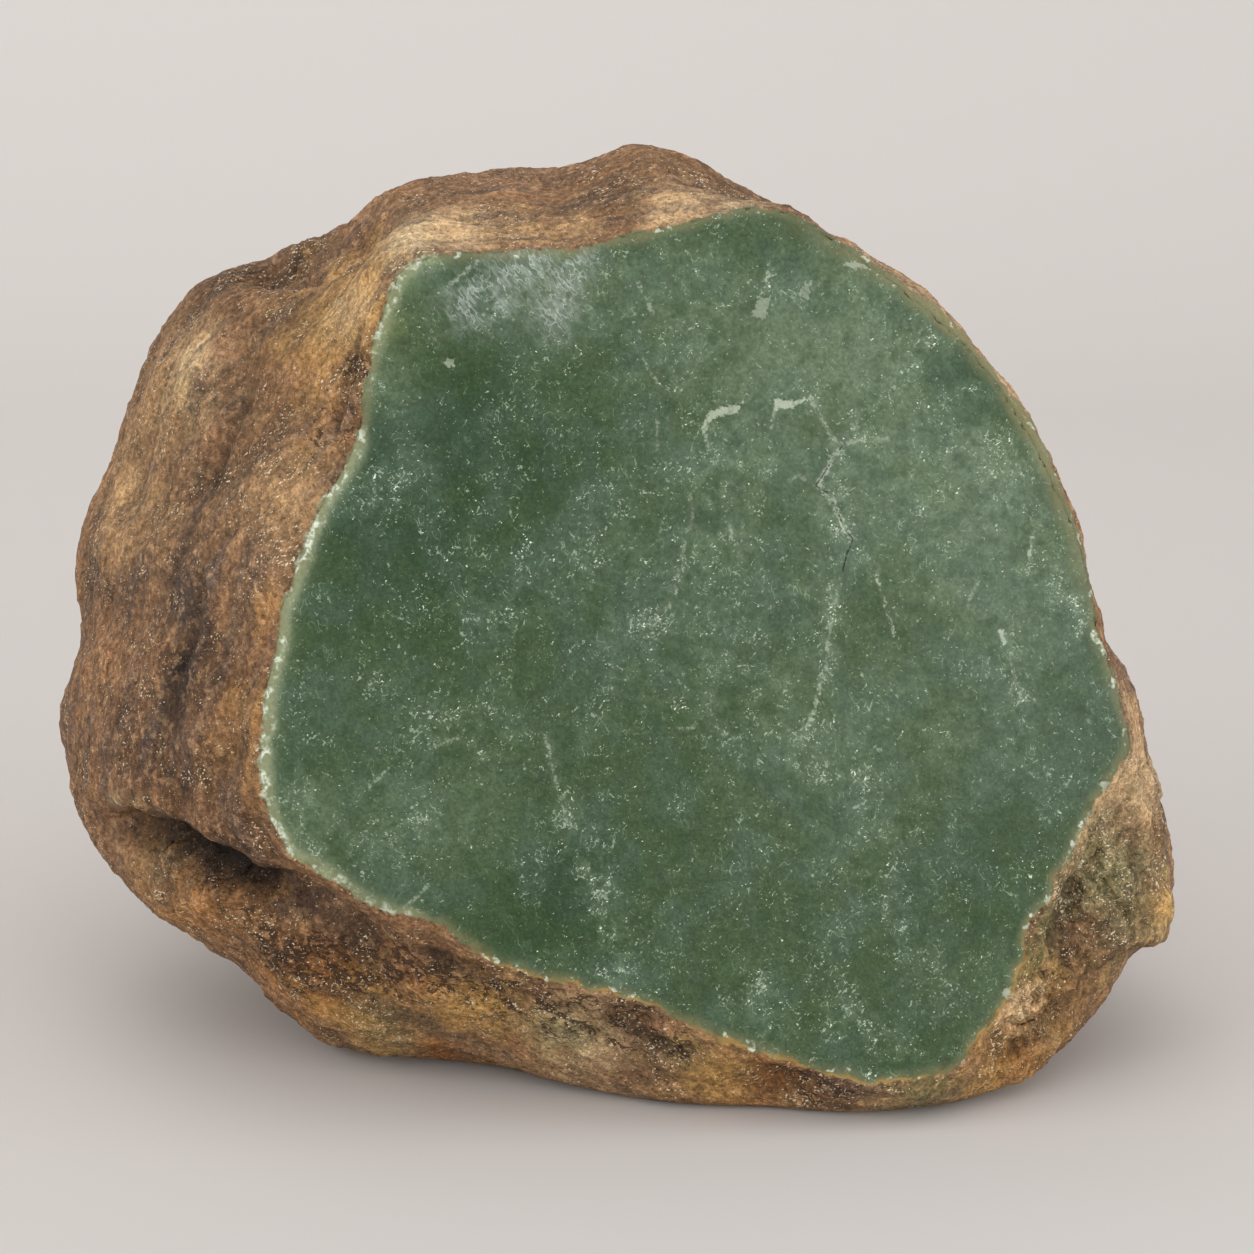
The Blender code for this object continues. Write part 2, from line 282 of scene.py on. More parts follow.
# The upper right of the window: which way it lies from the middle, and how far round it reaches.
HUB_ACROSS = 3.0
HUB_UP = -3.0
UPPER_RIGHT = 0.65
UPPER_RIGHT_REACH = 0.62
around = np.abs(np.arctan2(points[:, 2] - HUB_UP, points[:, 0] - HUB_ACROSS) - UPPER_RIGHT)
keep(stone.data, "upper_right", np.clip(1.0 - (around / UPPER_RIGHT_REACH) ** 2, 0.0, 1.0))

# How rough and broken the rind is, the shoulder most: places, reach and strength.
RUBBLE = [((112, 18, -62), 24, 1.0), ((96, 17, -94), 16, 1.0), ((-108, 30, -60), 16, 0.5),
          ((-60, 14, -80), 18, 0.4), ((-30, 10, -94), 14, 0.4), ((0, 6, -98), 16, 0.5),
          ((34, 8, -109), 16, 0.5), ((-80, 48, 92), 14, 0.4)]
rubble = np.zeros(len(points))
for place, reach, strength in RUBBLE:
    rubble = np.maximum(rubble, patch(points - place, reach, strength))
keep(stone.data, "rubble", rubble)

# ---------------------------------------------------------------------------------------------
# Relief of the rind: lumps, the streaks of the stone's layers, which lie nearly level with the
# window, pits and grit. The window itself is almost smooth. The flat underside stays flat.
# ---------------------------------------------------------------------------------------------

LAYER_STRETCH = (0.12, 1.0, 0.12)
LAYER_SKEW = 0.15
# How high or deep each kind of relief goes, and the seed that the grains start from.
RELIEF = {"lumps": 8.5, "streaks": 1.5, "furrows": 0.3, "grit": 1.3, "rubble": 6.5, "pits": 0.5,
          "bevel": 0.9, "chips": 0.7, "window": 1.1, "seed": 17.0}
# How wide the patches of each kind are.
LUMP_SIZE = 24.0
STREAK_SIZE = 5.0
FURROW_SPACING = 9.0
GRIT_SIZE = 2.4
PIT_SPACING = 7.0
PITTED_PATCH = 30.0
FACET_SIZE = 8.0
FACET_WARP = 9.0
WAVE_SIZE = 9.0
CHIP_SIZE = 3.2
CLUMP_SIZE = 15.0
COOL_PATCH = 13.0
# The cooler clouds are taken from this far aside, so that they don't follow the clumps.
ASIDE = (140.0, 140.0, 140.0)


class Web:
    """A tree of nodes under construction: each call adds one node and gives back its output."""

    def __init__(self, tree):
        self.tree = tree

    def node(self, kind, inputs=(), **settings):
        node = self.tree.nodes.new(kind)
        for name, value in settings.items():
            setattr(node, name, value)
        for socket, value in dict(inputs).items():
            self.feed(node.inputs[socket], value)
        return node

    def feed(self, socket, value):
        if isinstance(value, bpy.types.NodeSocket):
            self.tree.links.new(value, socket)
        else:
            socket.default_value = value

    def math(self, operation, a, b=0.0, c=0.0):
        return self.node("ShaderNodeMath", {0: a, 1: b, 2: c}, operation=operation).outputs[0]

    def vector(self, operation, a, b=(0.0, 0.0, 0.0)):
        return self.node("ShaderNodeVectorMath", {0: a, 1: b}, operation=operation).outputs[0]

    def steps(self, value, low, high, start=0.0, end=1.0):
        """Goes smoothly from start to end while the value goes from low to high."""
        node = self.node("ShaderNodeMapRange", {"Value": value, "From Min": low, "From Max": high,
                                                "To Min": start, "To Max": end},
                         interpolation_type="SMOOTHSTEP")
        return node.outputs[0]

    def grain(self, where, size, octaves=2.0, roughness=0.5, warp=0.0):
        """Soft random variation, 0 to 1, whose patches are about this many millimetres."""
        node = self.node("ShaderNodeTexNoise", {"Vector": where, "Scale": 1.0 / size,
                                                "Detail": octaves, "Roughness": roughness,
                                                "Distortion": warp})
        return node.outputs[0]

    def off_level(self, value, level=0.5):
        """How far a value is from this level. On a grain it is 0 along thin, winding seams."""
        return self.math("ABSOLUTE", self.math("SUBTRACT", value, level))

    def both(self, *shares):
        """The shares multiplied, so that it shows only where all of them do."""
        whole = shares[0]
        for share in shares[1:]:
            whole = self.math("MULTIPLY", whole, share)
        return whole

    def along_layers(self, where):
        """Room for a grain that is drawn out along the stone's layers."""
        up = self.node("ShaderNodeSeparateXYZ", {0: where}).outputs[2]
        skew = self.node("ShaderNodeCombineXYZ", {1: self.math("MULTIPLY", up, LAYER_SKEW)})
        return self.vector("MULTIPLY", self.vector("ADD", where, skew.outputs[0]), LAYER_STRETCH)


def weathering(material):
    """The tree that moves the stone's surface in and out, and keeps by how much."""
    tree = bpy.data.node_groups.new("weathering", "GeometryNodeTree")
    web = Web(tree)
    sockets = tree.interface
    sockets.new_socket("Geometry", in_out="INPUT", socket_type="NodeSocketGeometry")
    sockets.new_socket("Geometry", in_out="OUTPUT", socket_type="NodeSocketGeometry")
    for name in RELIEF:
        sockets.new_socket(name, in_out="INPUT", socket_type="NodeSocketFloat")
    given = web.node("NodeGroupInput").outputs

    def attribute(name):
        return web.node("GeometryNodeInputNamedAttribute", {"Name": name}).outputs["Attribute"]

    unshifted = web.node("GeometryNodeInputPosition").outputs[0]
    seed = web.node("ShaderNodeCombineXYZ", {0: given["seed"]}).outputs[0]
    place = web.vector("ADD", unshifted, seed)
    layered = web.along_layers(place)

    def part(height, name):
        return web.math("MULTIPLY", web.math("SUBTRACT", height, 0.5), given[name])

    # the rind
    lumps = part(web.grain(place, LUMP_SIZE, 5.0, 0.55), "lumps")
    streaks = part(web.grain(layered, STREAK_SIZE, 4.0, 0.55, 0.3), "streaks")
    grit = part(web.grain(place, GRIT_SIZE, 3.0, 0.6), "grit")
    cells = web.node("ShaderNodeTexVoronoi", {"Vector": place, "Scale": 1.0 / PIT_SPACING})
    pitted = web.steps(web.grain(place, PITTED_PATCH), 0.45, 0.65)
    pits = web.both(web.steps(cells.outputs["Distance"], 0.3, 0.0), pitted, given["pits"])
    ridges = web.off_level(web.grain(layered, FURROW_SPACING, 3.0, 0.5, 0.5))
    furrows = web.both(web.steps(ridges, 0.05, 0.0), given["furrows"])
    # the broken facets of the shoulder
    warped = web.node("ShaderNodeTexNoise", {"Vector": place, "Scale": 1.0 / FACET_WARP,
                                             "Detail": 2.0})
    warped = web.node("ShaderNodeVectorMath", {0: warped.outputs[1], 1: (FACET_WARP,) * 3, 2: place},
                      operation="MULTIPLY_ADD").outputs[0]
    facets = web.node("ShaderNodeTexVoronoi", {"Vector": warped, "Scale": 1.0 / FACET_SIZE,
                                               "Detail": 2.0, "Roughness": 0.6})
    broken = web.both(part(facets.outputs["Distance"], "rubble"), attribute("rubble"))
    rind = web.math("SUBTRACT", web.math("ADD", web.math("ADD", lumps, streaks), grit),
                    web.math("ADD", web.math("ADD", pits, furrows), broken))
    # none of it on the window or the underside
    edge = attribute("edge_distance")
    rind = web.both(rind, web.steps(edge, -0.3, -5.0), web.steps(attribute("off_ground"), 0.3, 6.0))
    # the window, its bevel and its chipped edge
    window = web.both(part(web.grain(place, WAVE_SIZE, 5.0, 0.55), "window"),
                      web.steps(edge, 0.2, 4.0))
    bevel = web.both(web.steps(edge, 4.5, 0.5), attribute("bevel"), web.steps(edge, -1.5, 0.0),
                     given["bevel"])
    near_edge = web.steps(web.math("ABSOLUTE", edge), 1.8, 0.4)
    chipped = web.steps(web.grain(place, CHIP_SIZE, 2.0, 0.6), 0.5, 0.62)
    chips = web.both(near_edge, chipped, given["chips"])
    height = web.math("SUBTRACT", web.math("ADD", rind, window), web.math("ADD", bevel, chips))

    normal = web.node("GeometryNodeInputNormal").outputs[0]
    offset = web.node("ShaderNodeVectorMath", {0: normal, "Scale": height}, operation="SCALE")
    # the finish reads these: the height, which it also paints as shade and light, the clumps of
    # colour and the jade's cooler clouds
    aside = web.vector("ADD", unshifted, ASIDE)
    marks = {"relief": height, "clumps": web.grain(unshifted, CLUMP_SIZE, 2.0, 0.6),
             "cool": web.grain(aside, COOL_PATCH, 3.0, 0.7)}
    marked = given["Geometry"]
    for name, value in marks.items():
        marked = web.node("GeometryNodeStoreNamedAttribute",
                          {"Geometry": marked, "Name": name, "Value": value},
                          data_type="FLOAT", domain="POINT").outputs[0]
    moved = web.node("GeometryNodeSetPosition", {"Geometry": marked, "Offset": offset.outputs[0]})
    real = web.node("GeometryNodeRealizeInstances", {0: moved.outputs[0]})
    done = web.node("GeometryNodeSetMaterial", {"Geometry": real.outputs[0], "Material": material})
    web.node("NodeGroupOutput", {0: done.outputs[0]})
    return tree


material = bpy.data.materials.new("jade_and_rind")
material.use_nodes = True
weather = stone.modifiers.new("weathering", "NODES")
weather.node_group = weathering(material)
for item in weather.node_group.interface.items_tree:
    if item.name in RELIEF:
        weather[item.identifier] = RELIEF[item.name]
settle(stone)

# The mesh is thinned where it shows least: on the back, underneath and inside the window.
FACE_BUDGET = 150_000
BACK_FROM = 50.0
BACK_FADE = 30.0
WINDOW_RIM = 3.0
WINDOW_THINNING = 0.6
UNDERSIDE_HEIGHT = 8.0
LEAST_THINNING = 0.2
THINNING_LEVELS = 10
THINNING_PULL = 0.25

mesh = stone.data
away = np.clip((read(mesh, "co")[:, 1] - BACK_FROM) / BACK_FADE, 0.0, 1.0)
inside = np.clip((read(mesh, "edge_distance") - WINDOW_RIM) / WINDOW_RIM, 0.0, WINDOW_THINNING)
low = np.clip(1.0 - read(mesh, "off_ground") / UNDERSIDE_HEIGHT, 0.0, 1.0)
plain = LEAST_THINNING + (1.0 - LEAST_THINNING) * np.maximum(np.maximum(away, inside), low)
group = stone.vertex_groups.new(name="plain")
for level in range(THINNING_LEVELS + 1):
    picked = np.flatnonzero(np.rint(plain * THINNING_LEVELS) == level)
    group.add(picked.tolist(), level / THINNING_LEVELS, "REPLACE")
thin = stone.modifiers.new("thin", "DECIMATE")
thin.ratio = FACE_BUDGET / sum(len(face.vertices) - 2 for face in mesh.polygons)
thin.vertex_group = "plain"
thin.vertex_group_factor = THINNING_PULL
thin.use_collapse_triangulate = True


def carry(before, thinned, names):
    """Reads the marks of the full mesh again at each point of the thinned one."""
    spots = before.vertices
    corners = [tuple(face.vertices) for face in before.polygons]
    tree = BVHTree.FromPolygons([spot.co for spot in spots], corners)
    marks = np.column_stack([read(before, name) for name in names])
    values = []
    for vert in thinned.vertices:
        place, _, face, _ = tree.find_nearest(vert.co)
        shares = poly_3d_calc([spots[corner].co for corner in corners[face]], place)
        values.append(np.array(shares) @ marks[list(corners[face])])
    for name, column in zip(names, np.array(values).T):
        keep(thinned, name, column)


settle(stone)
stone.vertex_groups.clear()
carry(mesh, stone.data, ("edge_distance", "off_ground", "relief", "painted_fold_shade", "bevel",
                         "upper_right", "rubble", "clumps", "cool"))

# ---------------------------------------------------------------------------------------------
# Cracks and flakes of the window: a crack stands open as a dark hair line with a bruise, pale and
# sugary, beside it, and a flake has lifted and left a pale dish. Places are (across, up) on the
# window. The mesh is divided along them.
# ---------------------------------------------------------------------------------------------

# Cracks: the places along each, the half width of its bruise, how pale that is, and how wide the
# crack stands open, from 0 to 1.
CRACKS = [
    # the main fracture, right of the middle
    ([(43, 53.5), (45.5, 49), (48, 44.5), (50.5, 42.5)], 0.3, 0.65, 0.3),
    ([(50.5, 42.5), (48, 39), (45.5, 35), (44, 33)], 0.42, 0.66, 0.8),
    ([(44, 33), (47, 31.5), (49, 27.5), (51, 23), (53, 20.5)], 0.4, 0.74, 0.8),
    ([(53, 20.5), (51.5, 17), (50.5, 13)], 0.11, 0.34, 1.0),
    ([(50.5, 13), (49, 6.5), (47, -3)], 0.23, 0.3, 0.0),
    ([(47, -3), (46.5, -10), (45, -14), (43.5, -20), (42, -23.5)], 0.2, 0.59, 0.2),
    ([(55.5, 51), (53.5, 47.5), (51, 44.5)], 0.16, 0.42, 0.2),
    ([(50.5, 43), (56, 44), (61, 44)], 0.35, 0.4, 0.0),
    ([(44, 33), (40, 35.5), (38, 34)], 0.18, 0.34, 0.0),
    # thinner cracks round it
    ([(59, 14), (58.5, 11)], 0.2, 0.8, 0.0),
    ([(58.5, 12), (60, 7), (62, 0.5), (62.5, -2)], 0.12, 0.8, 0.3),
    ([(88, -1.5), (89, -4)], 0.36, 0.68, 0.0),
    ([(90.5, -6.5), (91.5, -13), (90.5, -15.5)], 0.18, 0.68, 0.6),
    ([(92.5, -15.5), (93.5, -22.5)], 0.14, 0.59, 0.0),
    ([(14.5, 31), (15.5, 27.5), (12, 13), (11, 6.5), (5.5, 0)], 0.11, 0.42, 0.3),
    ([(11.5, 9.5), (11, 6.5), (8.5, 3.5)], 0.23, 0.51, 0.0),
    ([(83, 12), (80, 5)], 0.11, 0.42, 0.0),
    ([(95.5, 21), (94.5, 13)], 0.11, 0.65, 0.0),
    ([(19, 42), (18, 45), (19, 48.5)], 0.18, 0.51, 0.0),
    ([(34.5, 51), (33.5, 46)], 0.11, 0.42, 0.0),
    # the upper part
    ([(33.5, 85.5), (32, 78)], 0.14, 0.59, 0.0),
    ([(2, 81), (4, 77.5), (6, 73)], 0.14, 0.59, 0.2),
    ([(3.5, 63), (7, 57)], 0.11, 0.42, 0.0),
    ([(7, 48), (7, 41)], 0.11, 0.34, 0.0),
    ([(-34, 85), (-41, 79.5)], 0.32, 0.51, 0.0),
    ([(24, 24), (24.5, 20.5)], 0.23, 0.51, 0.0),
    # the lower part
    ([(-19, -25), (-17, -34), (-13.5, -46.5)], 0.11, 0.38, 0.0),
    ([(-45.5, -59.5), (-50.5, -64), (-51.5, -65)], 0.18, 0.42, 0.0),
    ([(-44.5, -27.5), (-39, -25.5)], 0.14, 0.42, 0.0),
    ([(-59.5, -37), (-54.5, -32)], 0.14, 0.42, 0.0),
    ([(11.5, -23.5), (14, -24), (16, -22.5)], 0.18, 0.42, 0.0),
    ([(94, -71), (97, -69), (99, -67), (99.5, -64)], 0.4, 0.9, 0.3),
    ([(111.5, -41.5), (107.5, -47), (103.5, -56), (102, -62)], 0.14, 0.6, 0.2),
]
# Flakes lifted off: the corners of each and how pale it is.
FLAKES = [
    ([(17.5, 46), (19, 50), (22, 51.5), (27, 52), (27.5, 54), (26, 50), (23, 49.5), (20, 48.5)], 0.8),
    ([(34.5, 53.5), (37, 53), (43, 53.5), (40.5, 52.5), (38.5, 51), (35.5, 51.5), (34.5, 50)], 0.9),
    ([(29, 72.5), (31, 77), (33.5, 77.5), (32.5, 72)], 0.45),
    ([(39.5, 78), (43.5, 81.5), (42.5, 76.5)], 0.4),
    ([(-42.5, 61.5), (-40.5, 62.5), (-40, 60.5), (-41.5, 60)], 0.55),
    ([(50.5, 85), (53.5, 86), (57, 84.5), (53.5, 84)], 0.6),
    ([(88.5, -85.5), (90.5, -85), (91, -88), (89, -87.5)], 0.8),
    ([(111.5, -36.5), (114.5, -36.5), (113, -39.5)], 0.7),
    ([(87.5, -0.5), (89, -0.5), (88.5, -2.5)], 0.9),
]
# Nicks: where the rind bites into the window's edge, or, less than 0, the jade runs past it: the
# place of each, its reach and how far it goes.
NICKS = [((-51, -70), 4.5, 2.6), ((-43, -72.5), 3, 2.0), ((-61, 59), 3.5, 1.5), ((-64, 49), 3, 1.5),
         ((-30, -80), 5, -1.2), ((20, -97), 5, -1.0), ((64, -109), 5, 1.8), ((77, -103), 4, -2.0),
         ((97, -71), 5, 2.4), ((103, -60), 4, 1.4), ((-80, 4), 4, -0.9), ((-84, -22), 5, 0.7)]
CRACK_DEPTH = 0.45
CRACK_HALF_WIDTH = 0.6
FLAKE_DEPTH = 0.35
# The marks count no further than this from a crack or a flake.
FAR = 4.0
# In each round the mesh is divided this near to them, where an edge is longer than this.
DIVISIONS = ((5.0, 2.6), (3.2, 1.6), (2.2, 0.9), (1.5, 0.6))
DIVIDED_PAST_EDGE = 2.0


def inside_outline(places, outline):
    """How far each place lies inside a closed outline, less than 0 outside it."""
    outline = np.array(outline, dtype=float)
    inside = np.zeros(len(places), dtype=bool)
    for (x0, z0), (x1, z1) in zip(outline, np.roll(outline, -1, axis=0)):
        crosses = (z0 > places[:, 1]) != (z1 > places[:, 1])
        with np.errstate(divide="ignore", invalid="ignore"):
            at = x0 + (places[:, 1] - z0) * (x1 - x0) / (z1 - z0)
        inside ^= crosses & (places[:, 0] < at)
    off = off_line(places, np.vstack([outline, outline[:1]]))
    return np.where(inside, off, -off)


def off_damage(places):
    """Distance of each place from the nearest crack or flake."""
    nearest = np.full(len(places), np.inf)
    for line, *_ in CRACKS:
        nearest = np.minimum(nearest, off_line(places, line))
    for outline, _ in FLAKES:
        nearest = np.minimum(nearest, -inside_outline(places, outline))
    return nearest


def divide_along_damage(mesh):
    """Splits the long edges near a crack or flake, so that the mesh can follow it."""
    bm = bmesh.new()
    bm.from_mesh(mesh)
    edge_mark = bm.verts.layers.float["edge_distance"]
    for reach, spacing in DIVISIONS:
        edges = [edge for edge in bm.edges
                 if min(vert[edge_mark] for vert in edge.verts) > -DIVIDED_PAST_EDGE
                 and edge.calc_length() > spacing]
        middles = np.array([(edge.verts[0].co + edge.verts[1].co) / 2 for edge in edges])
        chosen = np.flatnonzero(off_damage(middles[:, [0, 2]]) < reach)
        bmesh.ops.subdivide_edges(bm, edges=[edges[i] for i in chosen], cuts=1)
        bmesh.ops.triangulate(bm, faces=[face for face in bm.faces if len(face.verts) > 3])
    bm.to_mesh(mesh)
    bm.free()


def ragged(places, size):
    """Uneven values, about -1 to 1, that change over this distance."""
    return np.array([noise.noise(Vector(place) / size) for place in places])


def damage(mesh):
    """Cuts the cracks and flakes, and marks how far each point is from the nearest of them."""
    points = read(mesh, "co")
    normals = read(mesh, "normal")
    places = points[:, [0, 2]]
    marks = {"off_crack": np.full(len(points), FAR), "bruise": np.zeros(len(points)),
             "crack_paleness": np.zeros(len(points)), "opening": np.zeros(len(points))}
    for crack in CRACKS:
        off = off_line(places, crack[0])
        nearer = off < marks["off_crack"]
        marks["off_crack"][nearer] = off[nearer]
        for name, value in zip(("bruise", "crack_paleness", "opening"), crack[1:]):
            marks[name][nearer] = value
    in_flake = np.full(len(points), -FAR)
    flake_paleness = np.zeros(len(points))
    for outline, paleness in FLAKES:
        inside = inside_outline(places, outline)
        flake_paleness[inside > in_flake] = paleness
        in_flake = np.maximum(in_flake, inside)
    edge = read(mesh, "edge_distance")
    for place, reach, bite in NICKS:
        edge -= patch(places - place, reach, bite)
    keep(mesh, "edge_distance", edge)
    on_window = np.clip(edge + 1.0, 0.0, 1.0)
    in_crack = np.clip(1.0 - marks["off_crack"] / CRACK_HALF_WIDTH, 0.0, 1.0)
    cut = CRACK_DEPTH * marks["opening"] * in_crack
    cut += FLAKE_DEPTH * np.clip(0.5 + in_flake, 0.0, 1.0)
    mesh.vertices.foreach_set("co", (points - normals * (cut * on_window)[:, None]).ravel())
    marks["crack_paleness"] *= on_window
    marks["opening"] *= on_window
    for name, values in marks.items():
        keep(mesh, name, values)
    keep(mesh, "in_flake", in_flake)
    keep(mesh, "flake_paleness", flake_paleness * on_window)


divide_along_damage(stone.data)
damage(stone.data)

# ---------------------------------------------------------------------------------------------
# Stains of the rind: iron and clay from the river bed have soaked the outer few millimetres
# brown, ochre and orange, in patches, and iron has crept along its hair cracks. Each patch is a
# tone, a place (across, deep, up), the distance that it reaches and its strength.
# ---------------------------------------------------------------------------------------------

CLAY = (129, 97, 69)
UMBER = (110, 82, 55)
BARK = (80, 57, 40)
# dark: a real dark patch on the flank, and painted shade along the crease
SOOT_AND_SHADE = (28, 20, 14)
SLATE = (62, 57, 54)
HONEY = (184, 144, 82)
RUST = (162, 100, 42)
OCHRE = (164, 122, 74)
SAND = (190, 154, 108)
STRAW = (222, 188, 142)
CHALK = (208, 184, 144)
OLIVE = (152, 144, 102)
DARK_OLIVE = (88, 96, 58)

STAINS = [
    # the back and the far side, which lie away from the viewer
    (UMBER, (-60, 120, 40), 55, 0.8),
    (CLAY, (40, 110, 60), 45, 0.8),
    (UMBER, (80, 80, -30), 45, 0.8),
    (BARK, (-20, 140, -40), 45, 0.5),
    (RUST, (-90, 110, -30), 34, 0.5),
    (SAND, (10, 130, 20), 26, 0.4),
    (RUST, (60, 100, -70), 30, 0.5),
    (SLATE, (-10, 130, -20), 16, 0.6),
    (OLIVE, (60, 90, 50), 16, 0.6),
    (HONEY, (-50, 130, -60), 20, 0.6),
    # the top
    (CLAY, (0, 25, 106), 42, 0.9),
    (UMBER, (3, 30, 111), 16, 0.7),
    (HONEY, (-58, 7, 89), 8, 0.7),
    (CHALK, (-51, 4, 91), 8, 1.0),
    (STRAW, (-38, 4, 92), 7, 0.9),
    (SAND, (-26, 4, 93), 7, 0.8),
    (SAND, (-10, 3, 94), 6, 0.6),
    (STRAW, (14, 2, 98), 8, 0.8),
    (CHALK, (27, 2, 101), 7, 0.7),
    (CHALK, (60, 6, 78), 12, 0.6),
    (CHALK, (84, 4, 52), 12, 0.6),
    (SAND, (100, 4, 14), 12, 0.6),
    # the upper left, with its lip and the hollow behind it, darkened with painted shade
    (BARK, (-99, 46, 79), 13, 0.9),
    (CLAY, (-80, 48, 91), 9, 0.5),
    (HONEY, (-67, 3, 72), 14, 1.0),
    (STRAW, (-66, 3, 74), 7, 0.6),
    (OCHRE, (-69, 1, 55), 11, 0.6),
    (BARK, (-62, -3, 61), 4, 0.4),
    (BARK, (-67, -3, 48), 5, 0.4),
    # the left flank, with its pale knob and the dark patch below it
    (SAND, (-109, 42, 66), 12, 0.5),
    (CHALK, (-105, 40, 64), 7, 0.6),
    (OLIVE, (-104, 38, 54), 6, 0.5),
    (SLATE, (-92, 16, 52), 7, 0.4),
    (SLATE, (-99, 15, 33), 8, 0.5),
    (SAND, (-80, -3, 30), 14, 0.5),
    (OCHRE, (-86, -3, 4), 6, 0.6),
    (SLATE, (-96, 10, 12), 7, 0.5),
    (SLATE, (-118, 40, 12), 8, 0.35),
    (UMBER, (-103, 14, 18), 10, 0.7),
    (SAND, (-122, 45, 32), 13, 0.6),
    (SAND, (-117, 42, 51), 12, 0.6),
    (SLATE, (-104, 14, 4), 8, 0.7),
    (SOOT_AND_SHADE, (-105, 12, -10), 8, 1.0),
    (SLATE, (-110, 18, -22), 10, 0.6),
    (BARK, (-95, 5, -15), 8, 0.9),
    (CLAY, (-122, 34, -16), 12, 0.6),
    (BARK, (-113, 24, -31), 11, 0.85),
    (BARK, (-126, 37, -28), 10, 0.4),
    (OCHRE, (-86, -4, -20), 8, 0.8),
    (OCHRE, (-87, -5, -34), 8, 0.8),
    (BARK, (-93, -2, -40), 9, 0.6),
    # the crease, darkened along it with painted shade, and the orange lobe below it
    (BARK, (-114, 28, -52), 10, 0.9),
    (SOOT_AND_SHADE, (-105, 22, -51), 7, 0.9),
    (SOOT_AND_SHADE, (-95, 16, -54), 8, 1.0),
    (SOOT_AND_SHADE, (-86, 12, -60), 6, 0.9),
    (BARK, (-76, 12, -66), 5, 0.7),
    (OCHRE, (-104, 28, -67), 12, 0.8),
    (RUST, (-100, 26, -68), 9, 0.4),
    (UMBER, (-87, 18, -69), 9, 0.8),
    (SAND, (-116, 36, -57), 8, 0.5),
    (CHALK, (-123, 32, -42), 3, 0.9),
    (OCHRE, (-74, 16, -82), 16, 0.8),
    (RUST, (-78, 18, -84), 11, 0.6),
    (BARK, (-60, 14, -76), 9, 0.8),
    (BARK, (-82, 18, -77), 7, 0.9),
    (BARK, (-71, 16, -79), 8, 0.9),
    (BARK, (-44, 10, -82), 6, 0.8),
    (RUST, (-70, 18, -86), 8, 0.7),
    (RUST, (-52, 14, -88), 6, 0.6),
    # the strip under the window
    (HONEY, (-62, 26, -95), 12, 1.0),
    (UMBER, (-50, 16, -88), 5, 0.4),
    (OLIVE, (-55, 28, -99), 8, 0.5),
    (UMBER, (-50, 22, -97), 8, 0.7),
    (BARK, (-20, 4, -88), 4, 0.6),
    (HONEY, (-32, 12, -90), 10, 0.8),
    (STRAW, (-7, 9, -98), 11, 0.9),
    (HONEY, (-40, 16, -93), 8, 0.7),
    (OLIVE, (-15, 8, -97), 8, 0.8),
    (BARK, (-1, 3, -92), 6, 0.8),
    (SLATE, (3, 4, -94), 4, 0.5),
    (OLIVE, (14, 8, -100), 6, 0.6),
    (HONEY, (22, 10, -106), 10, 1.0),
    (RUST, (36, 10, -107), 9, 0.6),
    (SAND, (40, 11, -113), 6, 0.6),
    (BARK, (48, 7, -109), 5, 0.7),
    (SAND, (61, 10, -113), 6, 0.8),
    (RUST, (-46, 32, -104), 5, 0.8),
    # the rough shoulder at the lower right
    (STRAW, (121, 20, -38), 15, 1.0),
    (RUST, (128, 26, -50), 6, 0.4),
    (OLIVE, (116, 20, -60), 13, 1.0),
    (OLIVE, (124, 29, -72), 9, 0.6),
    (HONEY, (131, 32, -68), 5, 0.7),
    (UMBER, (117, 22, -79), 8, 0.5),
    (DARK_OLIVE, (100, 13, -71), 5, 0.8),
    (DARK_OLIVE, (95, 12, -80), 7, 1.0),
    (BARK, (108, 17, -75), 5, 0.9),
    (BARK, (106, 17, -83), 5, 0.7),
    (HONEY, (97, 17, -95), 13, 1.0),
    (SAND, (99, 17, -97), 7, 0.5),
    (RUST, (94, 17, -103), 7, 0.6),
    (UMBER, (104, 20, -95), 6, 0.5),
    (STRAW, (93, 12, -91), 5, 0.9),
    (HONEY, (86, 18, -108), 8, 0.6),
    (DARK_OLIVE, (71, 8, -110), 8, 0.7),
]

# Where iron has crept along the hair cracks: places, reach and strength.
IRON_VEINS = [
    ((-86, 18, -76), 7, 0.9),
    ((-76, 17, -79), 8, 1.0),
    ((-66, 15, -80), 8, 1.0),
    ((-55, 12, -81), 8, 1.0),
    ((-45, 10, -82), 6, 0.9),
    ((-100, 22, -58), 9, 0.5),
    ((-32, 5, -86), 9, 0.6),
    ((-14, 4, -89), 9, 0.7),
    ((2, 4, -93), 8, 0.9),
    ((12, 6, -98), 6, 0.6),
    ((42, 5, -108), 7, 0.7),
    ((52, 6, -110), 5, 0.6),
    ((-62, -3, 60), 5, 0.6),
    ((-67, -3, 48), 6, 0.7),
    ((104, 18, -80), 7, 0.4),
    ((96, 17, -92), 8, 0.25),
    ((-30, 130, -40), 22, 0.7),
    ((60, 100, -50), 18, 0.7),
]


def linear(colour):
    """A colour as the eye reads it, 0 to 255, as light."""
    return ((np.array(colour) / 255.0 + 0.055) / 1.055) ** 2.4


def lay_patches(points, base, patches, uneven, spread=(1.0, 1.0)):
    """The base tone with each patch of another laid over it in turn."""
    colours = np.tile(linear(base), (len(points), 1))
    for tone, place, reach, strength in patches:
        share = patch((points - place) * spread, reach, strength, uneven)
        colours += share[:, None] * (linear(tone) - colours)
    return np.column_stack([colours, np.ones(len(points))])


# A stain soaks in, so its depth counts for less than how far it spreads. Its outline wavers
# broadly and finely.
SPREAD = (1.0, 0.45, 1.0)
BROAD_WAVER = 11.0
BROAD_SHARE = 0.5
FINE_WAVER = 4.5
FINE_SHARE = 0.4
FINE_ASIDE = 70.0

